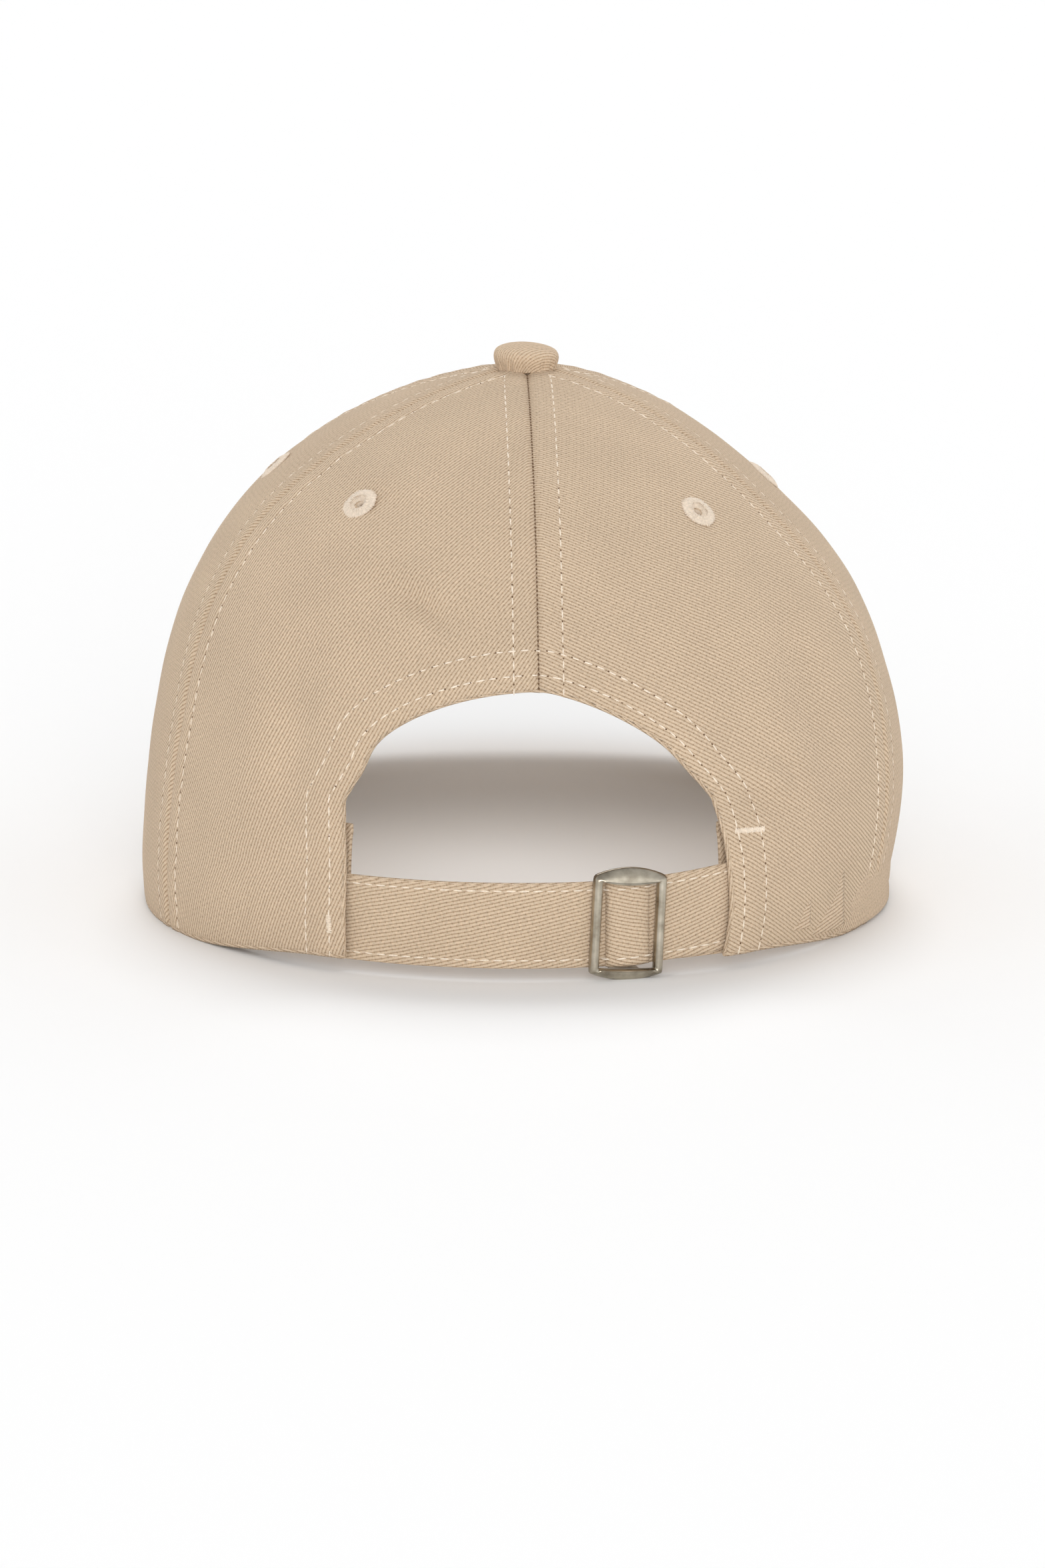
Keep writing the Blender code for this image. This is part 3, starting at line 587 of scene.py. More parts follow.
def dent_relief(points):
    """The soft dents of the rear wall, which are placed by side and height in millimetres."""
    total = np.zeros(points.shape[:-1])
    behind = smoothstep(points[..., 1], 0.0, 20.0 * MM)
    for side, height, long_half, short_half, slant, depth in DENTS:
        x = points[..., 0] / MM - side
        z = points[..., 2] / MM - height
        lean = radians(slant)
        # x runs to the left as seen from behind, so the slant is mirrored
        along = -x * cos(lean) + z * sin(lean)
        across = x * sin(lean) + z * cos(lean)
        valley = np.exp(-(along / long_half) ** 2) * (
            np.exp(-(across / short_half) ** 2) - 0.55
            * np.exp(-((across - 1.9 * short_half) / (1.3 * short_half)) ** 2))
        total -= depth * MM * behind * valley
    return total


def handled(points):
    """Broad, gentle unevenness, as smooth noise at two sizes."""
    flat = points.reshape(-1, 3)
    broad = [noise.noise(Vector(p) * 26.0) for p in flat]
    small = [noise.noise(Vector(p) * 85.0 + Vector((7.0, 3.0, 1.0))) for p in flat]
    return (0.80 * MM * np.array(broad) + 0.16 * MM * np.array(small)).reshape(points.shape[:-1])


def nearest(points, curve):
    """The distance from each point to a curve, and how far along the curve that is."""
    flat = points.reshape(-1, 3)
    along = np.concatenate([[0.0], np.cumsum(np.linalg.norm(np.diff(curve, axis=0), axis=1))])
    distance = np.full(len(flat), 1.0)
    place = np.zeros(len(flat))
    for i in range(0, len(flat), 4000):
        block = np.linalg.norm(flat[i:i + 4000, None, :] - curve[None, :, :], axis=-1)
        closest = block.argmin(axis=1)
        distance[i:i + 4000] = block[np.arange(len(closest)), closest]
        place[i:i + 4000] = along[closest]
    return distance.reshape(points.shape[:-1]), place.reshape(points.shape[:-1])


# %% [markdown]
# ## Crown panels
# A panel is a grid between two seams. Its columns crowd together near the seams, where the relief
# is fine, and its rows run from the hem to the button. Each panel has a UV map named cloth, in
# metres of cloth, turned so that the twill's ridges run the way that panel was cut. The two rear
# panels show it well: one was cut with its ridges steep, the other with them nearly level.

# %% Grid helpers
SEAM_COLUMNS = np.array([0.0, 0.3, 0.65, 1.05, 1.6, 2.4, 3.3, 4.2, 4.9, 5.5, 6.1, 6.9, 8.0]) * MM
CELL = 1.7 * MM
TOP_HOLE = 3.5 * MM
ROW_COUNT = 104


def grid_mesh(name, points, uv, closed=False):
    """A mesh from a rows x columns grid of points, with a UV map named cloth."""
    rows, columns = points.shape[:2]
    index = np.arange(rows * columns).reshape(rows, columns)
    if closed:
        index = np.concatenate([index, index[:, :1]], axis=1)
    faces = np.stack([index[:-1, :-1], index[:-1, 1:], index[1:, 1:], index[1:, :-1]], axis=-1).reshape(-1, 4)
    mesh = bpy.data.meshes.new(name)
    mesh.from_pydata(points.reshape(-1, 3).tolist(), [], faces.tolist())
    layer = mesh.uv_layers.new(name="cloth")
    corners = np.zeros(len(mesh.loops), np.int32)
    mesh.loops.foreach_get("vertex_index", corners)
    layer.data.foreach_set("uv", uv.reshape(-1, 2)[corners].astype(np.float32).ravel())
    mesh.shade_smooth()
    return mesh


def cloth_object(mesh, material, thickness=0.0, offset=-1.0):
    obj = bpy.data.objects.new(mesh.name, mesh)
    bpy.context.scene.collection.objects.link(obj)
    mesh.materials.append(material)
    if thickness:
        solidify = obj.modifiers.new("Thickness", "SOLIDIFY")
        solidify.thickness = thickness
        solidify.offset = offset
        solidify.use_even_offset = True
    return obj


def turned_uv(u, v, degrees_from_level):
    """Cloth coordinates turned so that the first runs along the ridges."""
    c, s = cos(radians(degrees_from_level)), sin(radians(degrees_from_level))
    return np.stack([u * c + v * s, v * c - u * s], axis=-1)


def applied(obj):
    """Makes the evaluated shape the object's plain mesh and removes its modifiers."""
    graph = bpy.context.evaluated_depsgraph_get()
    mesh = bpy.data.meshes.new_from_object(obj.evaluated_get(graph))
    mesh.name = obj.name
    obj.modifiers.clear()
    obj.data = mesh
    return obj


# %% Panel surface
def row_angles(start, end, t):
    """For one row: the columns' angles and their distances from the two seams."""
    dense = np.linspace(start, end, 80)
    points = crown_skin(dense, np.full(80, t))
    run = np.concatenate([[0.0], np.cumsum(np.linalg.norm(np.diff(points, axis=0), axis=1))])
    width = run[-1]
    edge = SEAM_COLUMNS * min(1.0, 0.40 * width / SEAM_COLUMNS[-1])
    middle_count = round((end - start) * HALF_WIDTH / CELL) - 8
    middle = np.linspace(edge[-1], width - edge[-1], middle_count)[1:-1]
    places = np.concatenate([edge, middle, (width - edge)[::-1]])
    return np.interp(places, run, dense), places, width - places


def panel_surface(start, end):
    """The panel's angles, t values, points with relief, and flat cloth coordinates."""
    levels = np.linspace(0.0, t_at_radius(TOP_HOLE), ROW_COUNT)
    rows = [row_angles(start, end, t) for t in levels]
    angle = np.array([row[0] for row in rows])
    first = np.array([row[1] for row in rows])
    last = np.array([row[2] for row in rows])
    t = np.repeat(levels[:, None], angle.shape[1], axis=1)
    skin = crown_skin(angle, t)
    middle = skin[:, skin.shape[1] // 2]
    up = np.concatenate([[0.0], np.cumsum(np.linalg.norm(np.diff(middle, axis=0), axis=1))])
    u = (first - last) / 2.0
    v = np.repeat(up[:, None], angle.shape[1], axis=1)
    return angle, t, skin, first, last, u, v


SEAMS = (0.0, SEAM_FRONT_SIDE, SEAM_SIDE_BACK, pi, -SEAM_SIDE_BACK, -SEAM_FRONT_SIDE)
MERIDIAN_T = np.linspace(0.0, 1.0, 200)
MERIDIAN = crown_skin(np.full(200, pi / 2.0), MERIDIAN_T)
MERIDIAN_LENGTH = np.concatenate([[0.0], np.cumsum(np.linalg.norm(np.diff(MERIDIAN, axis=0), axis=1))])


def level_speed(angle, t):
    """Metres along the crown's level line for each radian."""
    step = 0.0005
    return np.linalg.norm(crown_skin(angle + step, t) - crown_skin(angle - step, t), axis=-1) / (2.0 * step)


def crown_relief(angle, t):
    """All the relief at points of the crown, from their angles and t values."""
    skin = crown_skin(angle, t)
    speed = level_speed(angle, t)
    along = np.interp(t, MERIDIAN_T, MERIDIAN_LENGTH)
    total = np.zeros(skin.shape[:-1])
    for number, seam in enumerate(SEAMS):
        total += seam_relief(np.abs(wrapped(angle - seam)) * speed, along + 2.1 * MM * number)
    hem = skin[..., 2] - rim_height(wrapped(angle))
    total += 0.45 * MM * bell(hem - 9.0 * MM, 9.0 * MM) - 0.40 * MM * bell(hem, 1.0 * MM)
    distance, place = nearest(skin, opening_edge)
    total += opening_relief(distance, place)
    # the cap isn't even: fuller high on the wearer's left, and drawn in low on the right
    x, y, z = skin[..., 0], skin[..., 1], skin[..., 2]
    left = smoothstep(x, -20.0 * MM, 20.0 * MM)
    full = bell(z - 97.0 * MM, 17.0 * MM) * (4.0 * left - 2.3) * MM
    flank = smoothstep(-x, 36.0 * MM, 88.0 * MM) * smoothstep(y, -38.0 * MM, -4.0 * MM)
    full = full - 5.5 * MM * bell(z, 20.0 * MM) * flank
    full = full + bell(z - 70.0 * MM, 20.0 * MM) * 1.3 * MM * smoothstep(x, 0.0, 60.0 * MM)
    total += full * (1.0 - bell(x, 22.0 * MM))
    calm = smoothstep(skin[..., 2], 0.0, 12.0 * MM) * (1.0 - smoothstep(skin[..., 2], 112.0 * MM, 122.0 * MM))
    total += calm * (dent_relief(skin) + handled(skin))
    return total


def crown_cloth(angle, t, depth=0.0):
    """Points of the crown with its relief, depth inside the outer face."""
    return crown_skin(angle, t) + crown_normal(angle, t) * (crown_relief(angle, t) - depth)[..., None]


# %% Cutter for the opening and the eyelets' holes
EYELET_DROP = 25.5 * MM
EYELET_HOLE = 0.9 * MM
EYELETS = {
    f"{place}_{hand}": sign * angle
    for place, angle in (
        ("front", SEAM_FRONT_SIDE / 2.0), ("side", (SEAM_FRONT_SIDE + SEAM_SIDE_BACK) / 2.0),
        ("back", radians(137.5)))
    for hand, sign in (("left", 1.0), ("right", -1.0))
}


def eyelet_frame(angle):
    """An eyelet's place and direction on the crown, as a matrix whose Z points outwards."""
    spot = np.array([angle])
    t = t_at_height(spot, CROWN_HEIGHT - EYELET_DROP)
    normal = Vector(crown_normal(spot, t)[0])
    return Matrix.Translation(Vector(crown_cloth(spot, t)[0])) @ normal.to_track_quat(
        "Z", "Y").to_matrix().to_4x4()


def opening_cutter():
    side, height = opening_outline(foot=-10.0 * MM)
    outline = list(zip(side, height))
    count = len(outline)
    vertices = [(x, 0.03, z) for x, z in outline] + [(x, 0.15, z) for x, z in outline]
    faces = [tuple(range(count)), tuple(reversed(range(count, 2 * count)))]
    faces += [((i + 1) % count, i, count + i, count + (i + 1) % count) for i in range(count)]
    mesh = bpy.data.meshes.new("opening_cutter")
    mesh.from_pydata(vertices, [], faces)
    shape = bmesh.new()
    shape.from_mesh(mesh)
    bmesh.ops.recalc_face_normals(shape, faces=shape.faces[:])
    for spot in EYELETS.values():
        bmesh.ops.create_cone(shape, cap_ends=True, segments=16, radius1=EYELET_HOLE, radius2=EYELET_HOLE,
                              depth=12.0 * MM, matrix=eyelet_frame(spot))
    shape.to_mesh(mesh)
    shape.free()
    cutter = bpy.data.objects.new("opening_cutter", mesh)
    bpy.context.scene.collection.objects.link(cutter)
    return cutter


# %% Build the six panels
RIDGE_SLANT = {"back_left": 66.0, "back_right": -30.0, "side_left": 48.0, "side_right": -52.0,
               "front_left": 70.0, "front_right": -24.0}


panels = []


def build_panels():
    cutter = opening_cutter()
    spans = {"front": (0.0, SEAM_FRONT_SIDE), "side": (SEAM_FRONT_SIDE, SEAM_SIDE_BACK),
             "back": (SEAM_SIDE_BACK, pi)}
    total = 0
    for place, (start, end) in spans.items():
        for hand in ("left", "right"):
            low, high = (start, end) if hand == "left" else (-end, -start)
            angle, t, _, _, _, u, v = panel_surface(low, high)
            points = crown_cloth(angle, t)
            uv = turned_uv(u, v, RIDGE_SLANT[f"{place}_{hand}"])
            name = f"panel_{place}_{hand}"
            panel = cloth_object(grid_mesh(name, points, uv), twill, CLOTH_THICKNESS)
            boolean = panel.modifiers.new("Opening", "BOOLEAN")
            boolean.operation = "DIFFERENCE"
            boolean.solver = "EXACT"
            boolean.object = cutter
            applied(panel)
            panels.append(panel)
            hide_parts(f"crown_panel_{place}_{hand}")
            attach(panel, "cap")
            total += len(panel.data.polygons)
    bpy.data.objects.remove(cutter)
    return total


print("panels:", build_panels(), "faces")

# %% [markdown]
# ## Shapes that are swept along a line
# Folded edges, the strap and the tab are all a section carried along a path. The path gives each
# section its place, and the normals say which way is out of the cloth. The seam of the section
# and both ends are closed, and the cloth map follows the path.

# %% Sweep
def run_lengths(points):
    return np.concatenate([[0.0], np.cumsum(np.linalg.norm(np.diff(points, axis=0), axis=1))])


def welded(mesh):
    """Merges coincident points, and turns every face outwards."""
    shape = bmesh.new()
    shape.from_mesh(mesh)
    bmesh.ops.remove_doubles(shape, verts=shape.verts[:], dist=0.001 * MM)
    bmesh.ops.recalc_face_normals(shape, faces=shape.faces[:])
    shape.to_mesh(mesh)
    shape.free()
    return mesh


def sweep(name, path, normals, section, slant=0.0, loop=False):
    """A closed section of (out, across) points carried along a path. loop joins its two ends."""
    path, normals, section = np.asarray(path), unit(np.asarray(normals)), np.asarray(section)
    if loop:
        path, normals = np.concatenate([path, path[:1]]), np.concatenate([normals, normals[:1]])
        tangent = np.gradient(np.concatenate([path[-2:-1], path, path[1:2]]), axis=0)[1:-1]
    else:
        tangent = np.gradient(path, axis=0)
    across = unit(np.cross(unit(tangent), normals))
    ring = np.concatenate([section, section[:1]])
    if section.ndim == 2:
        ring = np.repeat(ring[None], len(path), axis=0)
    points = path[:, None] + normals[:, None] * ring[..., :1] + across[:, None] * ring[..., 1:]
    v = np.repeat(run_lengths(path)[:, None], ring.shape[1], axis=1)
    u = np.repeat(run_lengths(ring[0])[None], len(path), axis=0)
    mesh = grid_mesh(name, points, turned_uv(v, u, slant))
    if not loop:
        shape = bmesh.new()
        shape.from_mesh(mesh)
        shape.verts.ensure_lookup_table()
        count = ring.shape[1]
        for row in (0, len(path) - 1):
            shape.faces.new([shape.verts[row * count + i] for i in range(count - 1)]).smooth = False
        shape.to_mesh(mesh)
        shape.free()
    return welded(mesh)


def circle(radius, count=10, squash=1.0):
    turn = np.arange(count) * 2.0 * pi / count
    return np.stack([radius * squash * np.cos(turn), radius * np.sin(turn)], axis=-1)


def rounded_section(thickness, width, crown=0.0, count=9, rise=None):
    """A flat section with round edges, as (out, across). crown swells the outer face."""
    half, radius = width / 2.0, thickness / 2.0
    turn = np.linspace(pi / 2.0, -pi / 2.0, 5)
    flat = np.linspace(-half + radius, half - radius, count)
    swell = crown * (1.0 - (flat / half) ** 2)
    if rise is not None:
        swell = swell + rise(half - np.abs(flat))
    outer = np.stack([radius + swell, flat], axis=-1)
    right = np.stack([radius * np.sin(turn[1:-1]), half - radius + radius * np.cos(turn[1:-1])], axis=-1)
    inner = np.stack([np.full(5, -radius), np.linspace(half - radius, -half + radius, 5)], axis=-1)
    left = np.stack([-radius * np.sin(turn[1:-1]), -half + radius - radius * np.cos(turn[1:-1])], axis=-1)
    return np.concatenate([outer, right, inner, left])


def place_piece(mesh, material, body, slot, *nodes):
    obj = cloth_object(mesh, material)
    if nodes:
        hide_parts(*nodes)
    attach(obj, body)
    return obj


# %% Folded edges of the crown
def build_folds():
    angle, t, path = opening_curve(margin=0.15 * MM, foot=BACK_RISE + 0.5 * MM)
    path = crown_cloth(angle, t, 0.50 * MM)
    fold = place_piece(sweep("opening_fold", path, crown_normal(angle, t), circle(0.62 * MM), 12.0), twill,
                       "cap", "twill")
    right_gap, left_gap = (asin(float(opening_leg(right, BACK_RISE)) / HALF_WIDTH) for right in (True, False))
    angle = np.linspace(-pi + right_gap, pi - left_gap, 420)
    t = np.full(angle.size, 0.004)
    path = crown_cloth(angle, t, 0.55 * MM)
    hem = place_piece(sweep("hem_fold", path, crown_normal(angle, t), circle(0.66 * MM), 12.0), twill,
                      "cap", "twill")
    return fold, hem


opening_fold, hem_fold = build_folds()
print("folded edges:", len(opening_fold.data.polygons) + len(hem_fold.data.polygons), "faces")

# %% [markdown]
# ## Stitches
# A stitch is a small thread-coloured bead, half sunk in the cloth. One Geometry Nodes group lays
# them along a rail: it samples the rail at an even pitch, turns a bead along the rail and square
# to the cloth, and varies each one a little with a fixed seed. The rails on the crown, the strap and
# the strap's fold are laid on the cloth first, by casting rays at it from outside. The same group lays
# eyelet threads, turned by 90 degrees, and the needle's holes, shifted by half a pitch.

# %% Stitch node group
def make_stitch_tree():
    tree = bpy.data.node_groups.new("stitch_row", "GeometryNodeTree")
    face = tree.interface
    face.new_socket("Geometry", in_out="INPUT", socket_type="NodeSocketGeometry")
    face.new_socket("Geometry", in_out="OUTPUT", socket_type="NodeSocketGeometry")
    for name, value in (("Pitch", 0.0029), ("Length", 0.0021), ("Width", 0.0005), ("Height", 0.0005),
                        ("Turn", 0.0), ("Shift", 0.0), ("Wobble", 0.06)):
        face.new_socket(name, in_out="INPUT", socket_type="NodeSocketFloat").default_value = value
    face.new_socket("Seed", in_out="INPUT", socket_type="NodeSocketInt").default_value = 1
    face.new_socket("Material", in_out="INPUT", socket_type="NodeSocketMaterial")

    def node(kind, inputs=None, **settings):
        made = tree.nodes.new(kind)
        for key, value in settings.items():
            setattr(made, key, value)
        for key, value in (inputs or {}).items():
            if isinstance(value, bpy.types.NodeSocket):
                tree.links.new(value, made.inputs[key])
            else:
                made.inputs[key].default_value = value
        return made

    given = node("NodeGroupInput").outputs
    curve = node("GeometryNodeMeshToCurve", {"Mesh": given["Geometry"]})
    trimmed = node("GeometryNodeTrimCurve", {"Curve": curve.outputs[0]}, mode="LENGTH")
    tree.links.new(given["Shift"], trimmed.inputs[4])
    trimmed.inputs[5].default_value = 100.0
    even = node("GeometryNodeResampleCurve", {"Curve": trimmed.outputs[0], "Length": given["Pitch"]},
                mode="LENGTH")
    tangent = node("GeometryNodeInputTangent")
    out = node("GeometryNodeInputNamedAttribute", {"Name": "cloth_out"}, data_type="FLOAT_VECTOR")
    facing = node("FunctionNodeAxesToRotation", {
        "Primary Axis": tangent.outputs[0], "Secondary Axis": out.outputs[0]}, primary_axis="X",
        secondary_axis="Z")
    low = node("ShaderNodeMath", {0: given["Turn"], 1: given["Wobble"]}, operation="SUBTRACT")
    high = node("ShaderNodeMath", {0: given["Turn"], 1: given["Wobble"]}, operation="ADD")
    turn = node("FunctionNodeRandomValue", {"Seed": given["Seed"]}, data_type="FLOAT")
    tree.links.new(low.outputs[0], turn.inputs[2])
    tree.links.new(high.outputs[0], turn.inputs[3])
    vector = node("ShaderNodeCombineXYZ", {"Z": turn.outputs[1]})
    euler = node("FunctionNodeEulerToRotation", {0: vector.outputs[0]})
    rotation = node("FunctionNodeRotateRotation", {
        "Rotation": facing.outputs[0], "Rotate By": euler.outputs[0]}, rotation_space="LOCAL")
    size = node("ShaderNodeCombineXYZ", {"X": given["Length"], "Y": given["Width"], "Z": given["Height"]})
    vary = node("FunctionNodeRandomValue", {"Seed": given["Seed"]}, data_type="FLOAT")
    vary.inputs[2].default_value = 0.44
    vary.inputs[3].default_value = 0.54
    scaled = node("ShaderNodeVectorMath", {0: size.outputs[0], "Scale": vary.outputs[1]}, operation="SCALE")
    bead = node("GeometryNodeMeshUVSphere", {"Segments": 8, "Rings": 5, "Radius": 1.0})
    # the bead's poles lie along its length
    upright = node("GeometryNodeTransform", {"Geometry": bead.outputs[0]})
    upright.inputs["Rotation"].default_value = (0.0, pi / 2.0, 0.0)
    laid = node("GeometryNodeInstanceOnPoints", {
        "Points": even.outputs[0], "Instance": upright.outputs[0], "Rotation": rotation.outputs[0],
        "Scale": scaled.outputs[0]})
    real = node("GeometryNodeRealizeInstances", {"Geometry": laid.outputs[0]})
    smooth = node("GeometryNodeSetShadeSmooth", {"Geometry": real.outputs[0]})
    finish = node("GeometryNodeSetMaterial", {"Geometry": smooth.outputs[0], "Material": given["Material"]})
    end = node("NodeGroupOutput")
    tree.links.new(finish.outputs[0], end.inputs[0])
    return tree


stitch_tree = make_stitch_tree()
socket_id = {item.name: item.identifier for item in stitch_tree.interface.items_tree
             if item.in_out == "INPUT"}


def stitches(name, rails, material, body, slot="embroidery_thread", **values):
    """Lays stitches along rails, each a list of points and a list of normals, as one piece."""
    vertices, outs, edges = [], [], []
    for points, normals in rails:
        base = len(vertices)
        vertices += [tuple(p) for p in points]
        outs += [tuple(n) for n in normals]
        edges += [(base + i, base + i + 1) for i in range(len(points) - 1)]
    mesh = bpy.data.meshes.new(name)
    mesh.from_pydata(vertices, edges, [])
    attribute = mesh.attributes.new("cloth_out", "FLOAT_VECTOR", "POINT")
    attribute.data.foreach_set("vector", np.array(outs, np.float32).ravel())
    obj = bpy.data.objects.new(name, mesh)
    bpy.context.scene.collection.objects.link(obj)
    modifier = obj.modifiers.new("Stitches", "NODES")
    modifier.node_group = stitch_tree
    for key, value in values.items():
        modifier[socket_id[key.capitalize()]] = value
    modifier[socket_id["Material"]] = material
    applied(obj)
    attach(obj, body)
    return obj


print("stitch group inputs:", ", ".join(socket_id))

# %% Rails laid on cloth
def tree_of(objects):
    vertices, faces = [], []
    for obj in objects:
        base = len(vertices)
        vertices += [v.co[:] for v in obj.data.vertices]
        faces += [[base + i for i in p.vertices] for p in obj.data.polygons]
    return BVHTree.FromPolygons(vertices, faces)


def laid_on(tree, points, normals, reach=3.5 * MM, sink=0.0):
    """Puts a line of points on the cloth, from outside. Where there is no cloth the line is split."""
    lines, line = [], []
    for point, normal in zip(points, normals):
        out = Vector(normal)
        hit = tree.ray_cast(Vector(point) + out * reach, -out, 2.0 * reach)[0]
        if hit is None:
            lines.append(line)
            line = []
        else:
            line.append((hit - out * sink, out))
    lines.append(line)
    return [tuple(zip(*line)) for line in lines if len(line) > 3]


def beside_seam(seam, offset, low, high, count=150):
    t = np.linspace(low, high, count)
    angle = np.full(count, seam)
    return wrapped(angle + offset / level_speed(angle, t)), t


crown_tree = tree_of(panels)
STITCH_PITCH, STITCH_LENGTH, STITCH_WIDTH, STITCH_HEIGHT = 2.9 * MM, 2.2 * MM, 0.42 * MM, 0.42 * MM


def crown_rail(angle, t, sink=0.0):
    return laid_on(crown_tree, crown_skin(angle, t), crown_normal(angle, t), sink=sink)


def seam_rails(sink=0.0):
    rails = []
    for seam in SEAMS:
        for side in (-1.0, 1.0):
            angle, t = beside_seam(seam, side * STITCH_FROM_SEAM, 0.012, t_at_radius(9.5 * MM))
            rails += crown_rail(angle, t, sink)
    return rails


def opening_rails(sink=0.0):
    rails = []
    for margin in OPENING_ROWS:
        angle, t, _ = opening_curve(margin, foot=BACK_RISE + 1.2 * MM)
        rails += crown_rail(angle, t, sink)
    return rails


def build_crown_stitches():
    size = dict(pitch=STITCH_PITCH, length=STITCH_LENGTH, width=STITCH_WIDTH, height=STITCH_HEIGHT)
    made = [stitches("seam_topstitches", seam_rails(0.06 * MM), thread, "cap", seed=3, **size)]
    made.append(stitches("opening_topstitches", opening_rails(0.06 * MM), thread, "cap", seed=5, **size))
    hole = dict(pitch=STITCH_PITCH, length=0.55 * MM, width=0.42 * MM, height=0.30 * MM,
                shift=STITCH_PITCH / 2.0)
    rails = seam_rails(0.03 * MM) + opening_rails(0.03 * MM)
    made.append(stitches("topstitch_needle_holes", rails, hole_shade, "cap", slot="twill", seed=9, **hole))
    angle = np.full(200, pi)
    t = np.linspace(0.0, t_at_radius(7.0 * MM), 200)
    dots = crown_rail(angle, t, 0.02 * MM)
    made.append(stitches("centre_back_needle_holes", dots, hole_shade, "cap", slot="twill", seed=11,
                         pitch=1.08 * MM, length=0.64 * MM, width=0.42 * MM, height=0.5 * MM, wobble=0.4))
    return made


crown_stitches = build_crown_stitches()
print("crown stitches:", sum(len(o.data.polygons) for o in crown_stitches), "faces")

# %% Bartacks
def tack_rail(points):
    """A short straight rail on the rear wall between two (side, height) places."""
    (a, b), (c, d) = points
    side, height = np.linspace(a, c, 12) * MM, np.linspace(b, d, 12) * MM
    angle, t = rear_place(side, height)
    return crown_rail(angle, t, 0.03 * MM)


def build_bartacks():
    rails = tack_rail(((-43.9, 31.3), (-50.6, 30.8))) + tack_rail(((46.3, 8.8), (46.4, 12.6)))
    return stitches("bartacks", rails, thread, "cap", seed=17, pitch=0.34 * MM, length=1.5 * MM,
                    width=0.36 * MM, height=0.5 * MM, turn=pi / 2.0, wobble=0.22)


bartacks = build_bartacks()
print("bartacks:", len(bartacks.data.polygons), "faces")

# %% [markdown]
# ## Eyelets
# Each eyelet is a hole whose edge is bound with satin stitches. A low ring of thread lies round
# the hole, and two turns of radial threads cover it: an outer one, a little uneven, and an inner
# one that leans into the hole and nearly closes it.

# %% Eyelets
EYELET_RING = ((0.75, -1.3), (0.62, -0.75), (0.85, -0.30), (1.5, 0.18), (2.3, 0.50), (3.1, 0.58), (3.8, 0.38),
               (4.2, 0.02), (3.9, -0.25), (1.7, -0.45), (1.5, -1.3))


def turned_mesh(name, outline, frame, steps=48):
    """A closed outline of (radius, height) in millimetres, turned about the frame's Z."""
    outline = np.array(outline) * MM
    turn = np.linspace(0.0, 2.0 * pi, steps + 1)
    ring = np.concatenate([outline, outline[:1]])
    points = np.stack([
        ring[:, None, 0] * np.cos(turn), ring[:, None, 0] * np.sin(turn),
        np.repeat(ring[:, 1:], steps + 1, axis=1)], axis=-1)
    length = np.repeat(run_lengths(ring)[:, None], steps + 1, axis=1)
    uv = np.stack([length * np.cos(turn), length * np.sin(turn)], axis=-1)
    mesh = grid_mesh(name, points, uv)
    mesh.transform(frame)
    return welded(mesh)


# each ring of threads: radius, height, lean outwards, count, length, width
EYELET_THREADS = {
    "outer": (3.20, 0.42, 0.30, 52, 2.7, 0.44),
    "inner": (1.75, 0.20, -0.62, 34, 2.3, 0.36),
}


def build_eyelet(name, angle):
    frame = eyelet_frame(angle)
    ring = turned_mesh(f"eyelet_ring_{name}", EYELET_RING, frame)
    place_piece(ring, satin_thread, "cap", "embroidery_thread", f"eyelet_{name}")
    made = []
    for part, (radius, height, lean, count, length, width) in EYELET_THREADS.items():
        turn = np.linspace(0.0, 2.0 * pi, 300)
        uneven = 0.10 * MM * np.sin(turn * 5.0 + angle * 9.0)
        points = [frame @ Vector(((radius * MM + d) * cos(a), (radius * MM + d) * sin(a), height * MM))
                  for d, a in zip(uneven, turn)]
        outs = [(frame.to_3x3() @ Vector((lean * cos(a), lean * sin(a), 1.0))).normalized() for a in turn]
        made.append(stitches(
            f"eyelet_{part}_{name}", [(points, outs)], satin_thread, "cap", seed=21 + round(abs(angle) * 10),
            pitch=2.0 * pi * radius * MM / count, length=length * MM, width=width * MM, height=0.5 * MM,
            turn=pi / 2.0, wobble=0.09))
    return made


eyelet_threads = [build_eyelet(name, angle) for name, angle in EYELETS.items()]
print("eyelets:", len(eyelet_threads))

# %% [markdown]
# ## Top button
# The button is a steel dome with twill pulled over it. The cloth gathers as it turns under, so
# the side below the widest line carries small pleats.

# %% Button
BUTTON_BASE = 124.2 * MM
BUTTON_OUTLINE = ((0.0, 5.55), (1.6, 5.5), (3.2, 5.35), (4.7, 5.05), (5.9, 4.65), (6.9, 4.1), (7.4, 3.3),
                  (7.45, 2.5),
                  (7.3, 1.8), (7.1, 1.2), (6.9, 0.7), (6.8, 0.2), (6.8, -0.1), (6.7, -0.5))


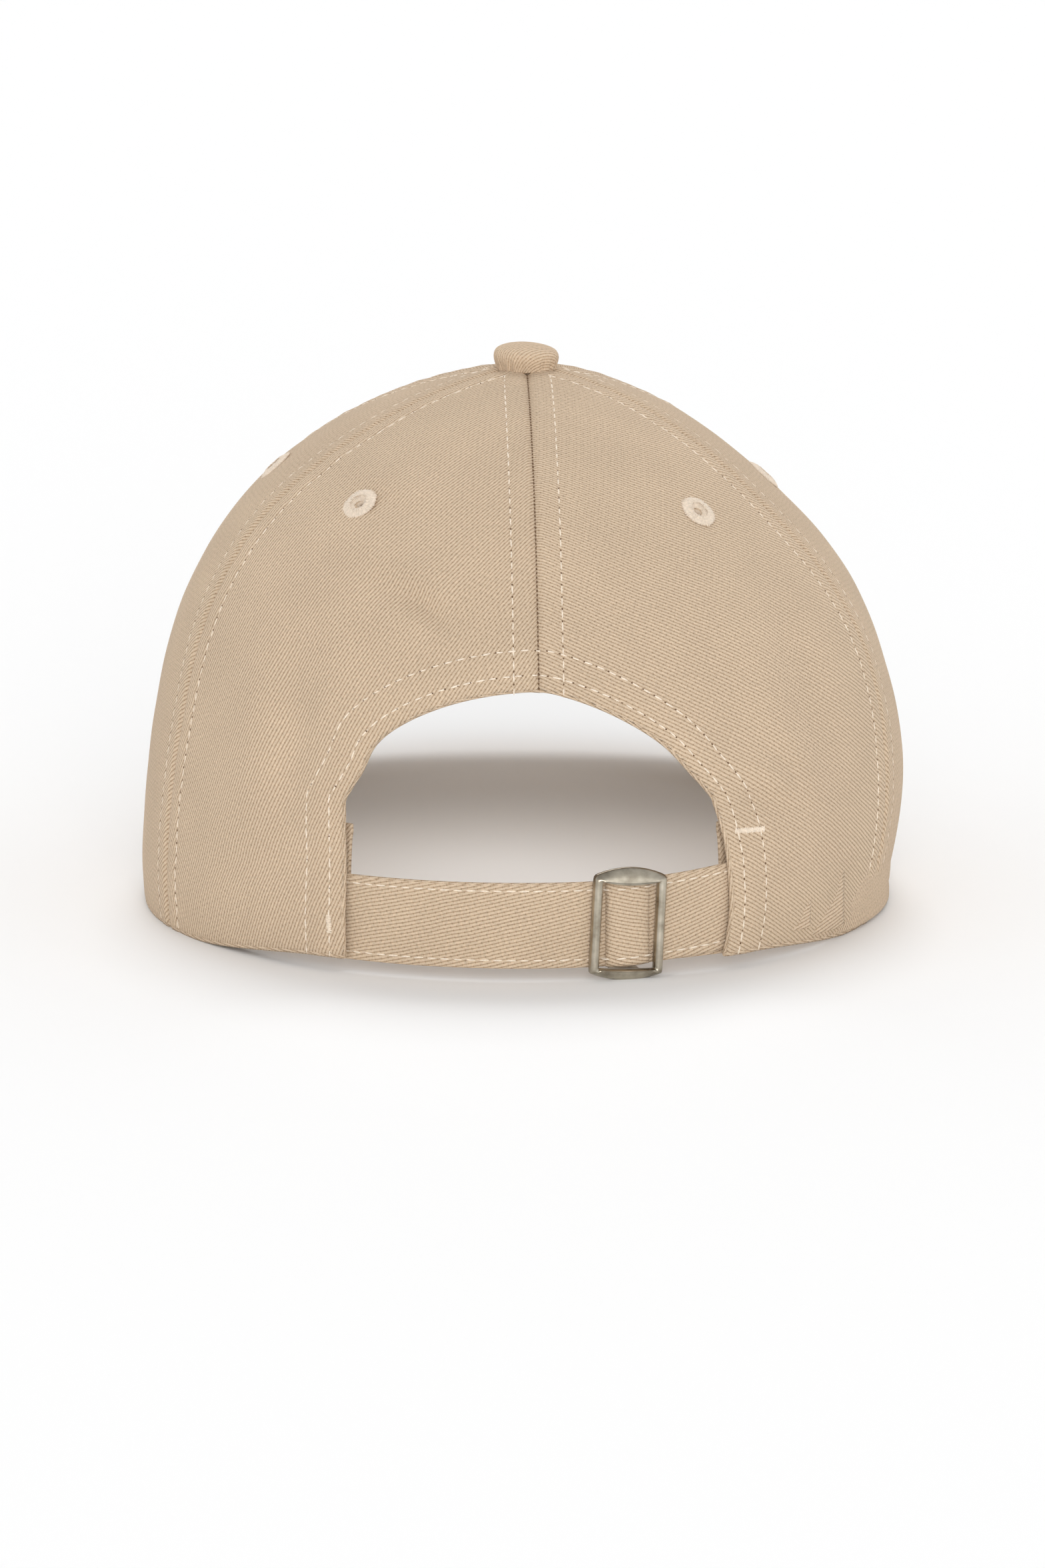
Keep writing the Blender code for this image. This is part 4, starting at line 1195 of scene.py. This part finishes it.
def build_button():
    coarse = np.array(BUTTON_OUTLINE) * MM
    fine = np.interp(np.linspace(0.0, 1.0, 48), run_lengths(coarse) / run_lengths(coarse)[-1],
                     np.arange(len(coarse)))
    outline = np.stack([np.interp(fine, np.arange(len(coarse)), coarse[:, k]) for k in (0, 1)], axis=-1)
    kernel = np.array([1.0, 2.0, 3.0, 2.0, 1.0]) / 9.0
    padded = np.pad(outline, ((2, 2), (0, 0)), mode="reflect", reflect_type="odd")
    outline = np.stack([np.convolve(padded[:, k], kernel, "valid") for k in (0, 1)], axis=-1)
    outline[0, 0] = 0.0
    steps = 120
    turn = np.linspace(0.0, 2.0 * pi, steps + 1)
    length = run_lengths(outline)
    gather = smoothstep(length, 7.0 * MM, 11.0 * MM)[:, None]
    pleat = 0.16 * MM * np.sin(17.0 * turn) + 0.10 * MM * np.sin(29.0 * turn + 1.0)
    radius = outline[:, :1] + gather * pleat
    tilt = -0.055
    x, y, z = radius * np.cos(turn), radius * np.sin(turn), np.repeat(outline[:, 1:], steps + 1, axis=1)
    points = np.stack([x, y, BUTTON_BASE + z - tilt * x * z / (6.0 * MM)], axis=-1)
    uv = turned_uv(length[:, None] * np.cos(turn), length[:, None] * np.sin(turn), 38.0)
    mesh = grid_mesh("button_cloth", points, uv)
    shape = bmesh.new()
    shape.from_mesh(mesh)
    bmesh.ops.remove_doubles(shape, verts=shape.verts[:], dist=0.001 * MM)
    rim = [e for e in shape.edges if e.is_boundary]
    bmesh.ops.contextual_create(shape, geom=rim)
    bmesh.ops.recalc_face_normals(shape, faces=shape.faces[:])
    shape.to_mesh(mesh)
    shape.free()
    return place_piece(mesh, button_twill, "cap", "button_twill", "button_cover")


button_cloth = build_button()
print("button:", len(button_cloth.data.polygons), "faces")

# %% [markdown]
# ## Inside the crown
# Behind the panels are the buckram of the two front panels, a tape over each seam, the tape that
# faces the opening, and the sweatband. The buckram and the tapes lie on the same surface as the
# panels, relief included, each at its own depth; the sweatband follows the surface without its relief.

# %% Inner pieces
TAPE_HALF = 7.0 * MM
BAND_ENDS = (40.8 * MM, 42.0 * MM)  # from the middle, on the wearer's right and left
INNER_TAPE = 1.35 * MM
OVER_BUCKRAM = 2.25 * MM


def strip_between(name, angle, t, depth, thickness, material, slant, node):
    """A cloth strip on the crown from grids of angles and t values, with its thickness."""
    points = crown_cloth(angle, t, depth)
    v = np.repeat(run_lengths(points[:, points.shape[1] // 2])[:, None], angle.shape[1], axis=1)
    u = np.stack([run_lengths(row) - run_lengths(row)[-1] / 2.0 for row in points])
    strip = cloth_object(grid_mesh(name, points, turned_uv(u, v, slant)), material, thickness)
    applied(strip)
    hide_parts(node)
    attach(strip, "cap")
    return strip


def build_tapes():
    above = BACK_RISE + OPENING_SPRING + OPENING_RISE + 9.4 * MM
    back_low = float(t_at_height(np.array([pi]), above)[0])
    seams = {
        "centre_front": (0.0, OVER_BUCKRAM, 0.01),
        "front_left": (SEAM_FRONT_SIDE, OVER_BUCKRAM, 0.01),
        "front_right": (-SEAM_FRONT_SIDE, OVER_BUCKRAM, 0.01),
        "back_left": (SEAM_SIDE_BACK, INNER_TAPE, 0.01),
        "back_right": (-SEAM_SIDE_BACK, INNER_TAPE, 0.01),
        "centre_back": (pi, INNER_TAPE, back_low),
    }
    tapes = []
    for name, (seam, depth, low) in seams.items():
        t = np.repeat(np.linspace(low, t_at_radius(11.0 * MM), 70)[:, None], 11, axis=1)
        middle = np.full(t.shape, seam)
        half = np.minimum(TAPE_HALF, HALF_WIDTH * profile(t)[0] * tan(radians(26)))
        angle = middle + half * np.linspace(-1.0, 1.0, 11) / level_speed(middle, t)
        tapes.append(strip_between(f"tape_{name}", angle, t, depth, 0.6 * MM, tape_twill, 45.0,
                                   f"seam_tape_{name}"))
    return tapes


def build_buckram():
    made = []
    for hand, sign in (("left", 1.0), ("right", -1.0)):
        low, high = sorted((0.0, sign * SEAM_FRONT_SIDE))
        t = np.repeat(np.linspace(0.01, t_at_radius(22.0 * MM), 60)[:, None], 48, axis=1)
        ends = [np.full(t.shape, edge) for edge in (low, high)]
        first, last = ends[0] + 2.0 * MM / level_speed(ends[0],
                                                       t), ends[1] - 2.0 * MM / level_speed(ends[1], t)
        angle = first + (last - first) * np.linspace(0.0, 1.0, 48)
        made.append(strip_between(f"buckram_{hand}", angle, t, 1.3 * MM, 0.6 * MM, buckram, 0.0,
                                  f"front_buckram_{hand}"))
    return made


def build_binding():
    rows = []
    for margin in np.linspace(9.1, 0.6, 8) * MM:
        rows.append(opening_curve(margin, foot=STRAP_BASE + STRAP_WIDTH + 0.6 * MM)[:2])
    angle, t = np.array([row[0] for row in rows]), np.array([row[1] for row in rows])
    return strip_between("opening_tape", angle, t, 1.35 * MM, 0.6 * MM, tape_twill, 45.0,
                         "opening_binding")


def build_sweatband():
    """The band inside the hem. It stands off the wall behind the strap and bows a little."""
    right_end, left_end = (pi - asin(reach / (HALF_WIDTH - 4.0 * MM)) for reach in BAND_ENDS)
    angle = np.repeat(np.linspace(-right_end, left_end, 300)[None], 18, axis=0)
    share = np.linspace(0.0, 1.0, 18)[:, None]
    height = rim_height(wrapped(angle)) + 0.8 * MM + 29.2 * MM * share
    t = t_at_height(angle, height)
    bow = 0.5 * MM * np.sin(pi * share) - 0.35 * MM * bell(share - 0.12,
                                                           0.05) - 0.3 * MM * bell(share - 0.94, 0.03)
    wave = 0.25 * MM * np.sin(angle * 31.0) * share + 0.2 * MM * np.sin(angle * 12.7 + 1.0) * share ** 2
    depth = 4.1 * MM - bow - wave
    points = crown_skin(angle, t) - crown_normal(angle, t) * depth[..., None]
    v = np.repeat(29.2 * MM * share, 300, axis=1)
    u = np.repeat(run_lengths(points[9])[None], 18, axis=0)
    band = cloth_object(grid_mesh("sweatband_cloth", points, turned_uv(u, v, 50.0)), twill, 1.2 * MM)
    bevel = band.modifiers.new("Edge", "BEVEL")
    bevel.width = 0.35 * MM
    bevel.segments = 2
    bevel.limit_method = "ANGLE"
    bevel.angle_limit = radians(50)
    applied(band)
    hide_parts("sweatband")
    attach(band, "cap")
    return band, angle, t, depth


tapes = build_tapes()
buckrams = build_buckram()
opening_tape = build_binding()
sweatband, band_angle, band_t, band_depth = build_sweatband()
print("inner pieces:", len(tapes) + len(buckrams) + 2)


# %% Stitches inside
def inner_rails():
    """The same seam rows where they come through the tapes, seen from inside."""
    rails = []
    for seam in SEAMS:
        depth = 1.98 * MM if abs(seam) > SEAM_FRONT_SIDE + 0.1 else 2.88 * MM
        top = t_at_radius(13.0 * MM)
        low = 0.05 if abs(seam) < 3.0 else float(t_at_height(np.array([pi]), 78.0 * MM)[0])
        for side in (-1.0, 1.0):
            angle, t = beside_seam(seam, side * STITCH_FROM_SEAM, low, top)
            rails.append((crown_cloth(angle, t, depth), -crown_normal(angle, t)))
    return rails


def band_rails():
    rails = []
    for row in (2, 16):
        place = crown_skin(band_angle[row], band_t[row])
        out = crown_normal(band_angle[row], band_t[row])
        line = place - out * (band_depth[row] + 1.22 * MM)[:, None]
        rails.append((line[5:-5], -out[5:-5]))
    return rails


inside = dict(pitch=STITCH_PITCH, length=STITCH_LENGTH, width=STITCH_WIDTH, height=STITCH_HEIGHT)
inner_stitches = stitches("inside_stitches", inner_rails() + band_rails(), thread, "cap", seed=31, **inside)
print("inside stitches:", len(inner_stitches.data.polygons), "faces")

# %% [markdown]
# ## Visor
# The visor is a curved surface from the hem outwards. Its two covers close round the board in a
# round edge, with a sewn ridge where they meet, and rows of topstitching run parallel to the
# edge. The droop is the one at which the visor's corners stand on the table.

# %% Visor surface
VISOR_END = radians(64)
VISOR_LENGTH = 72.0 * MM
VISOR_SPLAY = 0.34
VISOR_BEND_RADIUS = 120.0 * MM
VISOR_FACE = 2.0 * MM
VISOR_ROWS = np.array([4.0, 11.0, 18.0, 25.0, 32.0, 39.0, 46.0, 53.0]) * MM


def visor_length(across):
    return VISOR_LENGTH * (1.0 - np.abs(across) ** 2.8) ** 0.62


def visor_skin(across, out, droop):
    angle = across * VISOR_END
    start = crown_point(angle, np.zeros(np.shape(angle)), 0.0)
    turn = VISOR_SPLAY * angle
    forward = out * visor_length(across) * np.cos(turn)
    side = start[..., 0] + out * visor_length(across) * np.sin(turn)
    bend = (side ** 2 - start[..., 0] ** 2) / (2.0 * VISOR_BEND_RADIUS)
    return np.stack([side, start[..., 1] - forward, start[..., 2] - bend - forward * tan(droop)], axis=-1)


def visor_normal(across, out, droop):
    step = 0.004
    wide = visor_skin(across + step, out, droop) - visor_skin(across - step, out, droop)
    deep = visor_skin(across, out + step, droop) - visor_skin(across, out - step, droop)
    return unit(np.cross(deep, wide))


def visor_grid(levels, columns):
    across = 0.985 * np.sin(pi / 2.0 * np.linspace(-1.0, 1.0, columns))
    return np.meshgrid(across, levels)


def find_droop():
    across, out = visor_grid(np.linspace(0.0, 1.0, 7), 25)
    low, high = radians(-20), radians(40)
    for _ in range(40):
        middle = (low + high) / 2.0
        under = visor_skin(across, out, middle) - visor_normal(across, out, middle) * VISOR_FACE
        if under[..., 2].min() > 0.0:
            low = middle
        else:
            high = middle
    return low


DROOP = find_droop()
print("visor droop", round(np.degrees(DROOP), 2), "degrees")


# %% Visor covers
def visor_relief(from_edge, along):
    rows = sum(bell(from_edge - row, 0.8 * MM) for row in VISOR_ROWS)
    wave = np.sin(2.0 * pi * along / (7.3 * MM)) * 0.04 * MM
    near = sum(bell(from_edge - row, 2.2 * MM) for row in VISOR_ROWS)
    return -0.13 * MM * rows + wave * near


def build_visor_cover(name, sign, material, slant, node):
    """One cover: the flat field, then a quarter turn down to where the two covers meet."""
    across, out = visor_grid(np.linspace(0.0, 1.0, 78), 190)
    middle = visor_skin(across, out, DROOP)
    normal = visor_normal(across, out, DROOP) * sign
    from_edge = (1.0 - out) * visor_length(across)
    along = np.repeat(run_lengths(middle[-1])[None], out.shape[0], axis=0)
    edge_share = np.minimum(1.0, from_edge / (2.0 * MM))
    lift = VISOR_FACE * np.sqrt(np.clip(1.0 - (1.0 - edge_share) ** 2, 0.0, 1.0)) + visor_relief(from_edge,
                                                                                                 along)
    lift = np.where(from_edge < 0.05 * MM, 0.12 * MM, lift)
    points = middle + normal * lift[..., None]
    v = np.stack([run_lengths(column) for column in middle.transpose(1, 0, 2)], axis=1)
    u = np.stack([run_lengths(row) - run_lengths(row)[-1] / 2.0 for row in middle])
    if sign > 0:
        points, u, v = points[:, ::-1], u[:, ::-1], v[:, ::-1]
    cover = cloth_object(grid_mesh(name, points, turned_uv(u, v, slant)), material, 0.7 * MM)
    applied(cover)
    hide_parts(node)
    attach(cover, "cap")
    return cover


visor_top = build_visor_cover("visor_top_cloth", 1.0, twill, 62.0, "visor_top_cover")
visor_under = build_visor_cover("visor_under_cloth", -1.0, twill, -40.0, "visor_bottom_cover")


def build_visor_edge():
    """The ridge where the covers are sewn together, turned inside the visor's edge."""
    across = 0.985 * np.sin(pi / 2.0 * np.linspace(-1.0, 1.0, 240))
    ones = np.ones(across.size)
    path = visor_skin(across, ones, DROOP)
    normal = visor_normal(across, ones, DROOP)
    mesh = sweep("visor_edge_seam", path, normal, circle(0.42 * MM, 8, 0.7), 20.0)
    return place_piece(mesh, twill, "cap", "twill")


def visor_rails(sign):
    rails = []
    for row in VISOR_ROWS:
        across = 0.975 * np.sin(pi / 2.0 * np.linspace(-1.0, 1.0, 260))
        out = 1.0 - row / visor_length(across)
        across, out = across[out > 0.03], out[out > 0.03]
        normal = visor_normal(across, out, DROOP) * sign
        lift = (VISOR_FACE - 0.15 * MM)
        rails.append((visor_skin(across, out, DROOP) + normal * lift, normal))
    return rails


visor_edge = build_visor_edge()
visor_stitches = [
    stitches("visor_top_stitches", visor_rails(1.0), thread, "cap", seed=41, **inside),
    stitches("visor_under_stitches", visor_rails(-1.0), thread, "cap", seed=43, **inside),
]
print("visor stitches:", sum(len(o.data.polygons) for o in visor_stitches), "faces")

# %% [markdown]
# ## Strap, tab and buckle
# The strap is a folded ribbon of the same twill, stitched along both edges. It runs across the
# opening, climbing a little towards the pocket on the wearer's right. The buckle slides on it:
# two bars in front, a domed plate above and below, and a bar behind that the tab is looped on.

# %% Strap
STRAP_DEPTH = 1.608 * MM
STRAP_THICKNESS = 0.9 * MM
STRAP_EDGE = asin(OPENING_HALF_WIDTH / HALF_WIDTH)
BUCKLE_ANGLE = 19.9 * MM / HALF_WIDTH


def arc_points(angle, depth, height):
    """Points on the back's circle. The angle runs from +Y towards the wearer's right."""
    radius = HALF_WIDTH - depth
    return np.stack([-radius * np.sin(angle), radius * np.cos(angle),
                     np.broadcast_to(height, np.shape(angle))], axis=-1)


def arc_out(angle):
    return np.stack([-np.sin(angle), np.cos(angle), np.zeros(np.shape(angle))], axis=-1)


def strap_rise(angle):
    """How far the strap has climbed: nothing on the wearer's left, most at the pocket."""
    share = np.clip(np.sin(angle) * HALF_WIDTH / OPENING_HALF_WIDTH, 0.0, 1.15)
    return 2.0 * MM * share ** 2.6


def strap_section_rise(from_edge):
    return 0.10 * MM * smoothstep(from_edge, 2.2 * MM, 5.0 * MM) - 0.10 * MM * bell(from_edge - 1.9 * MM,
                                                                                    0.6 * MM)


def build_strap():
    angle = np.linspace(-STRAP_EDGE - 10.0 * MM / HALF_WIDTH, STRAP_EDGE + 25.0 * MM / HALF_WIDTH, 170)
    height = STRAP_BASE + STRAP_WIDTH / 2.0 + strap_rise(angle)
    depth = STRAP_DEPTH + STRAP_THICKNESS / 2.0 + 0.12 * MM * np.sin(angle * 9.0 + 0.6)
    path = arc_points(angle, depth, height)
    section = rounded_section(STRAP_THICKNESS, STRAP_WIDTH, 0.0, 41, strap_section_rise)
    mesh = sweep("strap_cloth", path, arc_out(angle), section, -14.0)
    return place_piece(mesh, twill, "cap", "twill", "strap")


strap_cloth = build_strap()
strap_tree = tree_of([strap_cloth])


def strap_rails(low_angle, high_angle):
    rails = []
    for side in (-1.0, 1.0):
        angle = np.linspace(low_angle, high_angle, 120)
        height = STRAP_BASE + STRAP_WIDTH / 2.0 + strap_rise(angle) + side * (STRAP_WIDTH / 2.0 - 1.9 * MM)
        rails += laid_on(strap_tree, arc_points(angle, STRAP_DEPTH, height), arc_out(angle), 1.5 * MM,
                         0.04 * MM)
    return rails


strap_stitches = stitches("strap_topstitches", strap_rails(-STRAP_EDGE - 0.04, STRAP_EDGE + 0.03), thread,
                          "cap",
                          seed=51, **inside)
print("strap stitches:", len(strap_stitches.data.polygons), "faces")


# %% Tab
def tab_path():
    """The tab's middle line: from inside the pocket, round the centre bar and back on itself."""
    thick, gap, bar_radius = 0.7 * MM, 0.3 * MM, 0.8 * MM
    middle = STRAP_DEPTH + STRAP_THICKNESS + gap + thick / 2.0
    bar_depth = STRAP_DEPTH + STRAP_THICKNESS + gap + thick + gap + bar_radius
    far = STRAP_EDGE + 40.0 * MM / HALF_WIDTH
    loop = bar_radius + gap + thick / 2.0
    radius = HALF_WIDTH - bar_depth
    straight = np.linspace(far, BUCKLE_ANGLE, 60)
    turn = pi / 2.0 + pi * np.linspace(0.0, 1.0, 15)[1:]
    lap = BUCKLE_ANGLE + 2.5 * loop / radius + 7.0 * MM / radius * np.linspace(0.0, 1.0, 9)
    angle = np.concatenate([straight, BUCKLE_ANGLE + loop * np.cos(turn) / radius, lap])
    depth = np.concatenate([np.full(60, middle), bar_depth - loop * np.sin(turn),
                            np.full(9, middle + thick + gap)])
    return angle, depth


def build_tab():
    angle, depth = tab_path()
    path = arc_points(angle, depth, np.full(angle.size, STRAP_BASE + STRAP_WIDTH / 2.0))
    tangent = unit(np.gradient(path, axis=0))
    normals = np.cross(tangent, np.array([0.0, 0.0, 1.0]))
    section = rounded_section(0.66 * MM, 18.5 * MM, 0.0, 9)
    return place_piece(sweep("tab_cloth", path, normals, section, -14.0), twill, "buckle", "twill",
                       "buckle_tab")


tab_cloth = build_tab()
print("tab:", len(tab_cloth.data.polygons), "faces")


# %% Buckle frame
BUCKLE_HALF_WIDTH = 8.4 * MM
WINDOW_HALF_WIDTH = 6.3 * MM
BUCKLE_LEAN = radians(3.0)


def buckle_loops(count=56):
    """The frame's outer and inner outlines as (across, up) from its middle, side by side."""
    middle_low, middle_high = -9.5 * MM, 9.9 * MM
    share = np.linspace(-1.0, 1.0, count)[:-1]
    arch = 1.0 - share ** 2
    top = [np.stack([share * BUCKLE_HALF_WIDTH, 11.2 * MM + 1.9 * MM * arch], -1),
           np.stack([share * WINDOW_HALF_WIDTH, middle_high + 0.1 * MM - 0.9 * MM * arch], -1)]
    right = [np.stack([np.full(count - 1, BUCKLE_HALF_WIDTH), -share * 11.2 * MM], -1),
             np.stack([np.full(count - 1, WINDOW_HALF_WIDTH), -share * (middle_high + 0.3 * MM)], -1)]
    bottom = [np.stack([-share * BUCKLE_HALF_WIDTH, -10.9 * MM - 1.5 * MM * arch], -1),
              np.stack([-share * WINDOW_HALF_WIDTH, middle_low - 0.3 * MM - 0.1 * MM * arch], -1)]
    left = [np.stack([np.full(count - 1, -BUCKLE_HALF_WIDTH), share * 11.1 * MM], -1),
            np.stack([np.full(count - 1, -WINDOW_HALF_WIDTH), share * (middle_high + 0.3 * MM)], -1)]
    outer, inner = (np.concatenate([side[k] for side in (top, right, bottom, left)]) for k in (0, 1))
    for loop, passes in ((outer, 5), (inner, 2)):
        for _ in range(passes):
            loop[:] = (np.roll(loop, 1, axis=0) + 2.0 * loop + np.roll(loop, -1, axis=0)) / 4.0
    return outer, inner


def buckle_front(share, plate):
    """How far forward the face stands at a share of the way from the outer edge to the window."""
    bar = 1.35 * np.sqrt(np.clip(1.0 - (2.0 * share - 1.0) ** 2, 0.0, 1.0)) ** 0.8
    domed = 1.55 * np.sin(pi / 2.0 * np.minimum(share / 0.80, 1.0)) ** 0.75
    lip = 0.28 * np.exp(-((share - 0.90) / 0.06) ** 2)
    edge = np.sqrt(np.clip(1.0 - ((share - 0.93) / 0.07) ** 2, 0.0, 1.0))
    domed = np.where(share > 0.93, (domed + lip) * edge, domed + lip)
    return (bar * (1.0 - plate) + domed * plate) * MM


def build_buckle():
    outer, inner = buckle_loops()
    shares = np.concatenate([np.linspace(0.0, 0.3, 7), np.linspace(0.36, 0.8, 8), np.linspace(0.84, 1.0, 9)])
    upright = np.abs(outer[:, 1])
    plate = smoothstep(upright, 10.4 * MM, 11.6 * MM)[:, None]
    front = buckle_front(shares[None], plate)
    flat = outer[:, None] * (1.0 - shares[None, :, None]) + inner[:, None] * shares[None, :, None]
    back = np.full(front.shape, -0.7 * MM)
    depth = np.concatenate([front, back[:, ::-1]], axis=1)
    plan = np.concatenate([flat, flat[:, ::-1]], axis=1)
    c, s = cos(BUCKLE_LEAN), sin(BUCKLE_LEAN)
    across = plan[..., 0] * c + plan[..., 1] * s
    up = plan[..., 1] * c - plan[..., 0] * s
    # the plates follow the wall's curve a little, and so stay in front of the strap
    curve = -0.2 * across ** 2 / HALF_WIDTH
    radius = HALF_WIDTH - STRAP_DEPTH + 1.2 * MM
    c, s = cos(BUCKLE_ANGLE), sin(BUCKLE_ANGLE)
    x, y = -across, radius + depth + curve
    points = np.stack([x * c - y * s, x * s + y * c, up + STRAP_BASE + STRAP_WIDTH / 2.0 - 0.15 * MM],
                      axis=-1)
    rows = np.concatenate([points, points[:1]])
    uv = np.zeros(rows.shape[:2] + (2,))
    ring = np.concatenate([rows, rows[:, :1]], axis=1)
    mesh = grid_mesh("buckle_face", ring, np.concatenate([uv, uv[:, :1]], axis=1))
    return mesh


def add_box(shape, low, high):
    made = bmesh.ops.create_cube(shape, size=1.0)["verts"]
    middle = [(a + b) / 2.0 for a, b in zip(low, high)]
    size = [b - a for a, b in zip(low, high)]
    bmesh.ops.scale(shape, vec=size, verts=made)
    bmesh.ops.translate(shape, vec=middle, verts=made)
    edges = list({e for v in made for e in v.link_edges})
    bmesh.ops.bevel(shape, geom=edges, offset=0.3 * MM, segments=2, affect="EDGES", profile=0.6)


def build_buckle_legs():
    """The two short legs that run back from the plates, and hold the centre bar behind the strap."""
    shape = bmesh.new()
    back = HALF_WIDTH - 6.2 * MM
    front = HALF_WIDTH - STRAP_DEPTH + 0.9 * MM
    for low, high in ((0.3, 1.9), (22.2, 23.8)):
        add_box(shape, (-3.2 * MM, back, low * MM), (3.2 * MM, front, high * MM))
    turn = Matrix.Rotation(BUCKLE_ANGLE, 4, "Z")
    bmesh.ops.transform(shape, matrix=turn, verts=shape.verts[:])
    bmesh.ops.recalc_face_normals(shape, faces=shape.faces[:])
    mesh = bpy.data.meshes.new("buckle_legs")
    shape.to_mesh(mesh)
    shape.free()
    mesh.uv_layers.new(name="cloth")
    return mesh


buckle_face = place_piece(welded(build_buckle()), nickel, "buckle", "antique_nickel", "buckle_frame")
buckle_legs = place_piece(build_buckle_legs(), nickel, "buckle", "antique_nickel")
print("buckle:", len(buckle_face.data.polygons), "faces")


# %% Fold of the strap in the window
def build_bight():
    """The strap bulges where it climbs over the centre bar, between the buckle's two bars."""
    columns, rows = 40, 41
    share = np.linspace(-1.0, 1.0, columns)[None]
    up = np.linspace(-1.0, 1.0, rows)[:, None]
    angle = BUCKLE_ANGLE + (5.1 * share + 0.15) * MM / HALF_WIDTH + np.zeros_like(up)
    side = np.clip(1.0 - np.abs(share) ** 3.2, 0.0, 1.0) ** 0.55
    ends = np.clip(1.0 - np.abs(up) ** 14, 0.0, 1.0) ** 0.5
    bulge = 1.25 * MM * side * (1.0 - 0.25 * share) * ends
    bulge = bulge + ends * side * strap_section_rise((1.0 - np.abs(up)) * 9.75 * MM)
    height = STRAP_BASE + STRAP_WIDTH / 2.0 + strap_rise(angle) + up * 9.7 * MM
    height = height - 0.35 * MM * np.cos(share * pi / 2.0) * (up < 0) * np.abs(up)
    front = arc_points(angle, STRAP_DEPTH - 0.22 * MM - bulge, height)
    behind = arc_points(angle, STRAP_DEPTH - 0.20 * MM, height)
    shape_points = np.concatenate([front, behind[:, ::-1]], axis=1)
    u = np.concatenate([np.repeat(5.6 * share, rows, axis=0),
                        np.repeat(5.6 * share[:, ::-1], rows, axis=0)], axis=1) * MM
    v = np.repeat(9.75 * MM * up, 2 * columns, axis=1)
    uv = turned_uv(u, v, -14.0)
    closed = np.concatenate([shape_points, shape_points[:, :1]], axis=1)
    mesh = welded(grid_mesh("strap_bight", closed, np.concatenate([uv, uv[:, :1]], axis=1)))
    shape = bmesh.new()
    shape.from_mesh(mesh)
    bmesh.ops.holes_fill(shape, edges=[e for e in shape.edges if e.is_boundary])
    bmesh.ops.recalc_face_normals(shape, faces=shape.faces[:])
    shape.to_mesh(mesh)
    shape.free()
    return mesh


strap_bight = place_piece(build_bight(), twill, "buckle", "twill")
bight_tree = tree_of([strap_bight])


def bight_rails():
    rails = []
    for side in (-1.0, 1.0):
        angle = BUCKLE_ANGLE + np.linspace(-4.6, 4.6, 40) * MM / HALF_WIDTH
        height = STRAP_BASE + STRAP_WIDTH / 2.0 + strap_rise(angle) + side * 7.85 * MM
        rails += laid_on(bight_tree, arc_points(angle, STRAP_DEPTH - 1.0 * MM, height), arc_out(angle),
                         2.0 * MM, 0.04 * MM)
    return rails


bight_stitches = stitches("bight_topstitches", bight_rails(), thread, "buckle", seed=53, **inside)
print("bight:", len(strap_bight.data.polygons), "faces")

# %% [markdown]
# ## Frame pieces that stay
# The centre bar, the visor board and the button's steel parts already have their true shapes.
# They keep them, and get finished materials.

# %% Materials on frame pieces
def finish_node(name, material):
    node = frame["nodes"][name]
    node.data.materials.clear()
    node.data.materials.append(material)


finish_node("buckle_centre_bar", nickel)
finish_node("visor_board", board_plastic)
for name in ("button_shell", "button_rivet", "button_washer"):
    finish_node(name, steel)
print("frame pieces finished: 5")
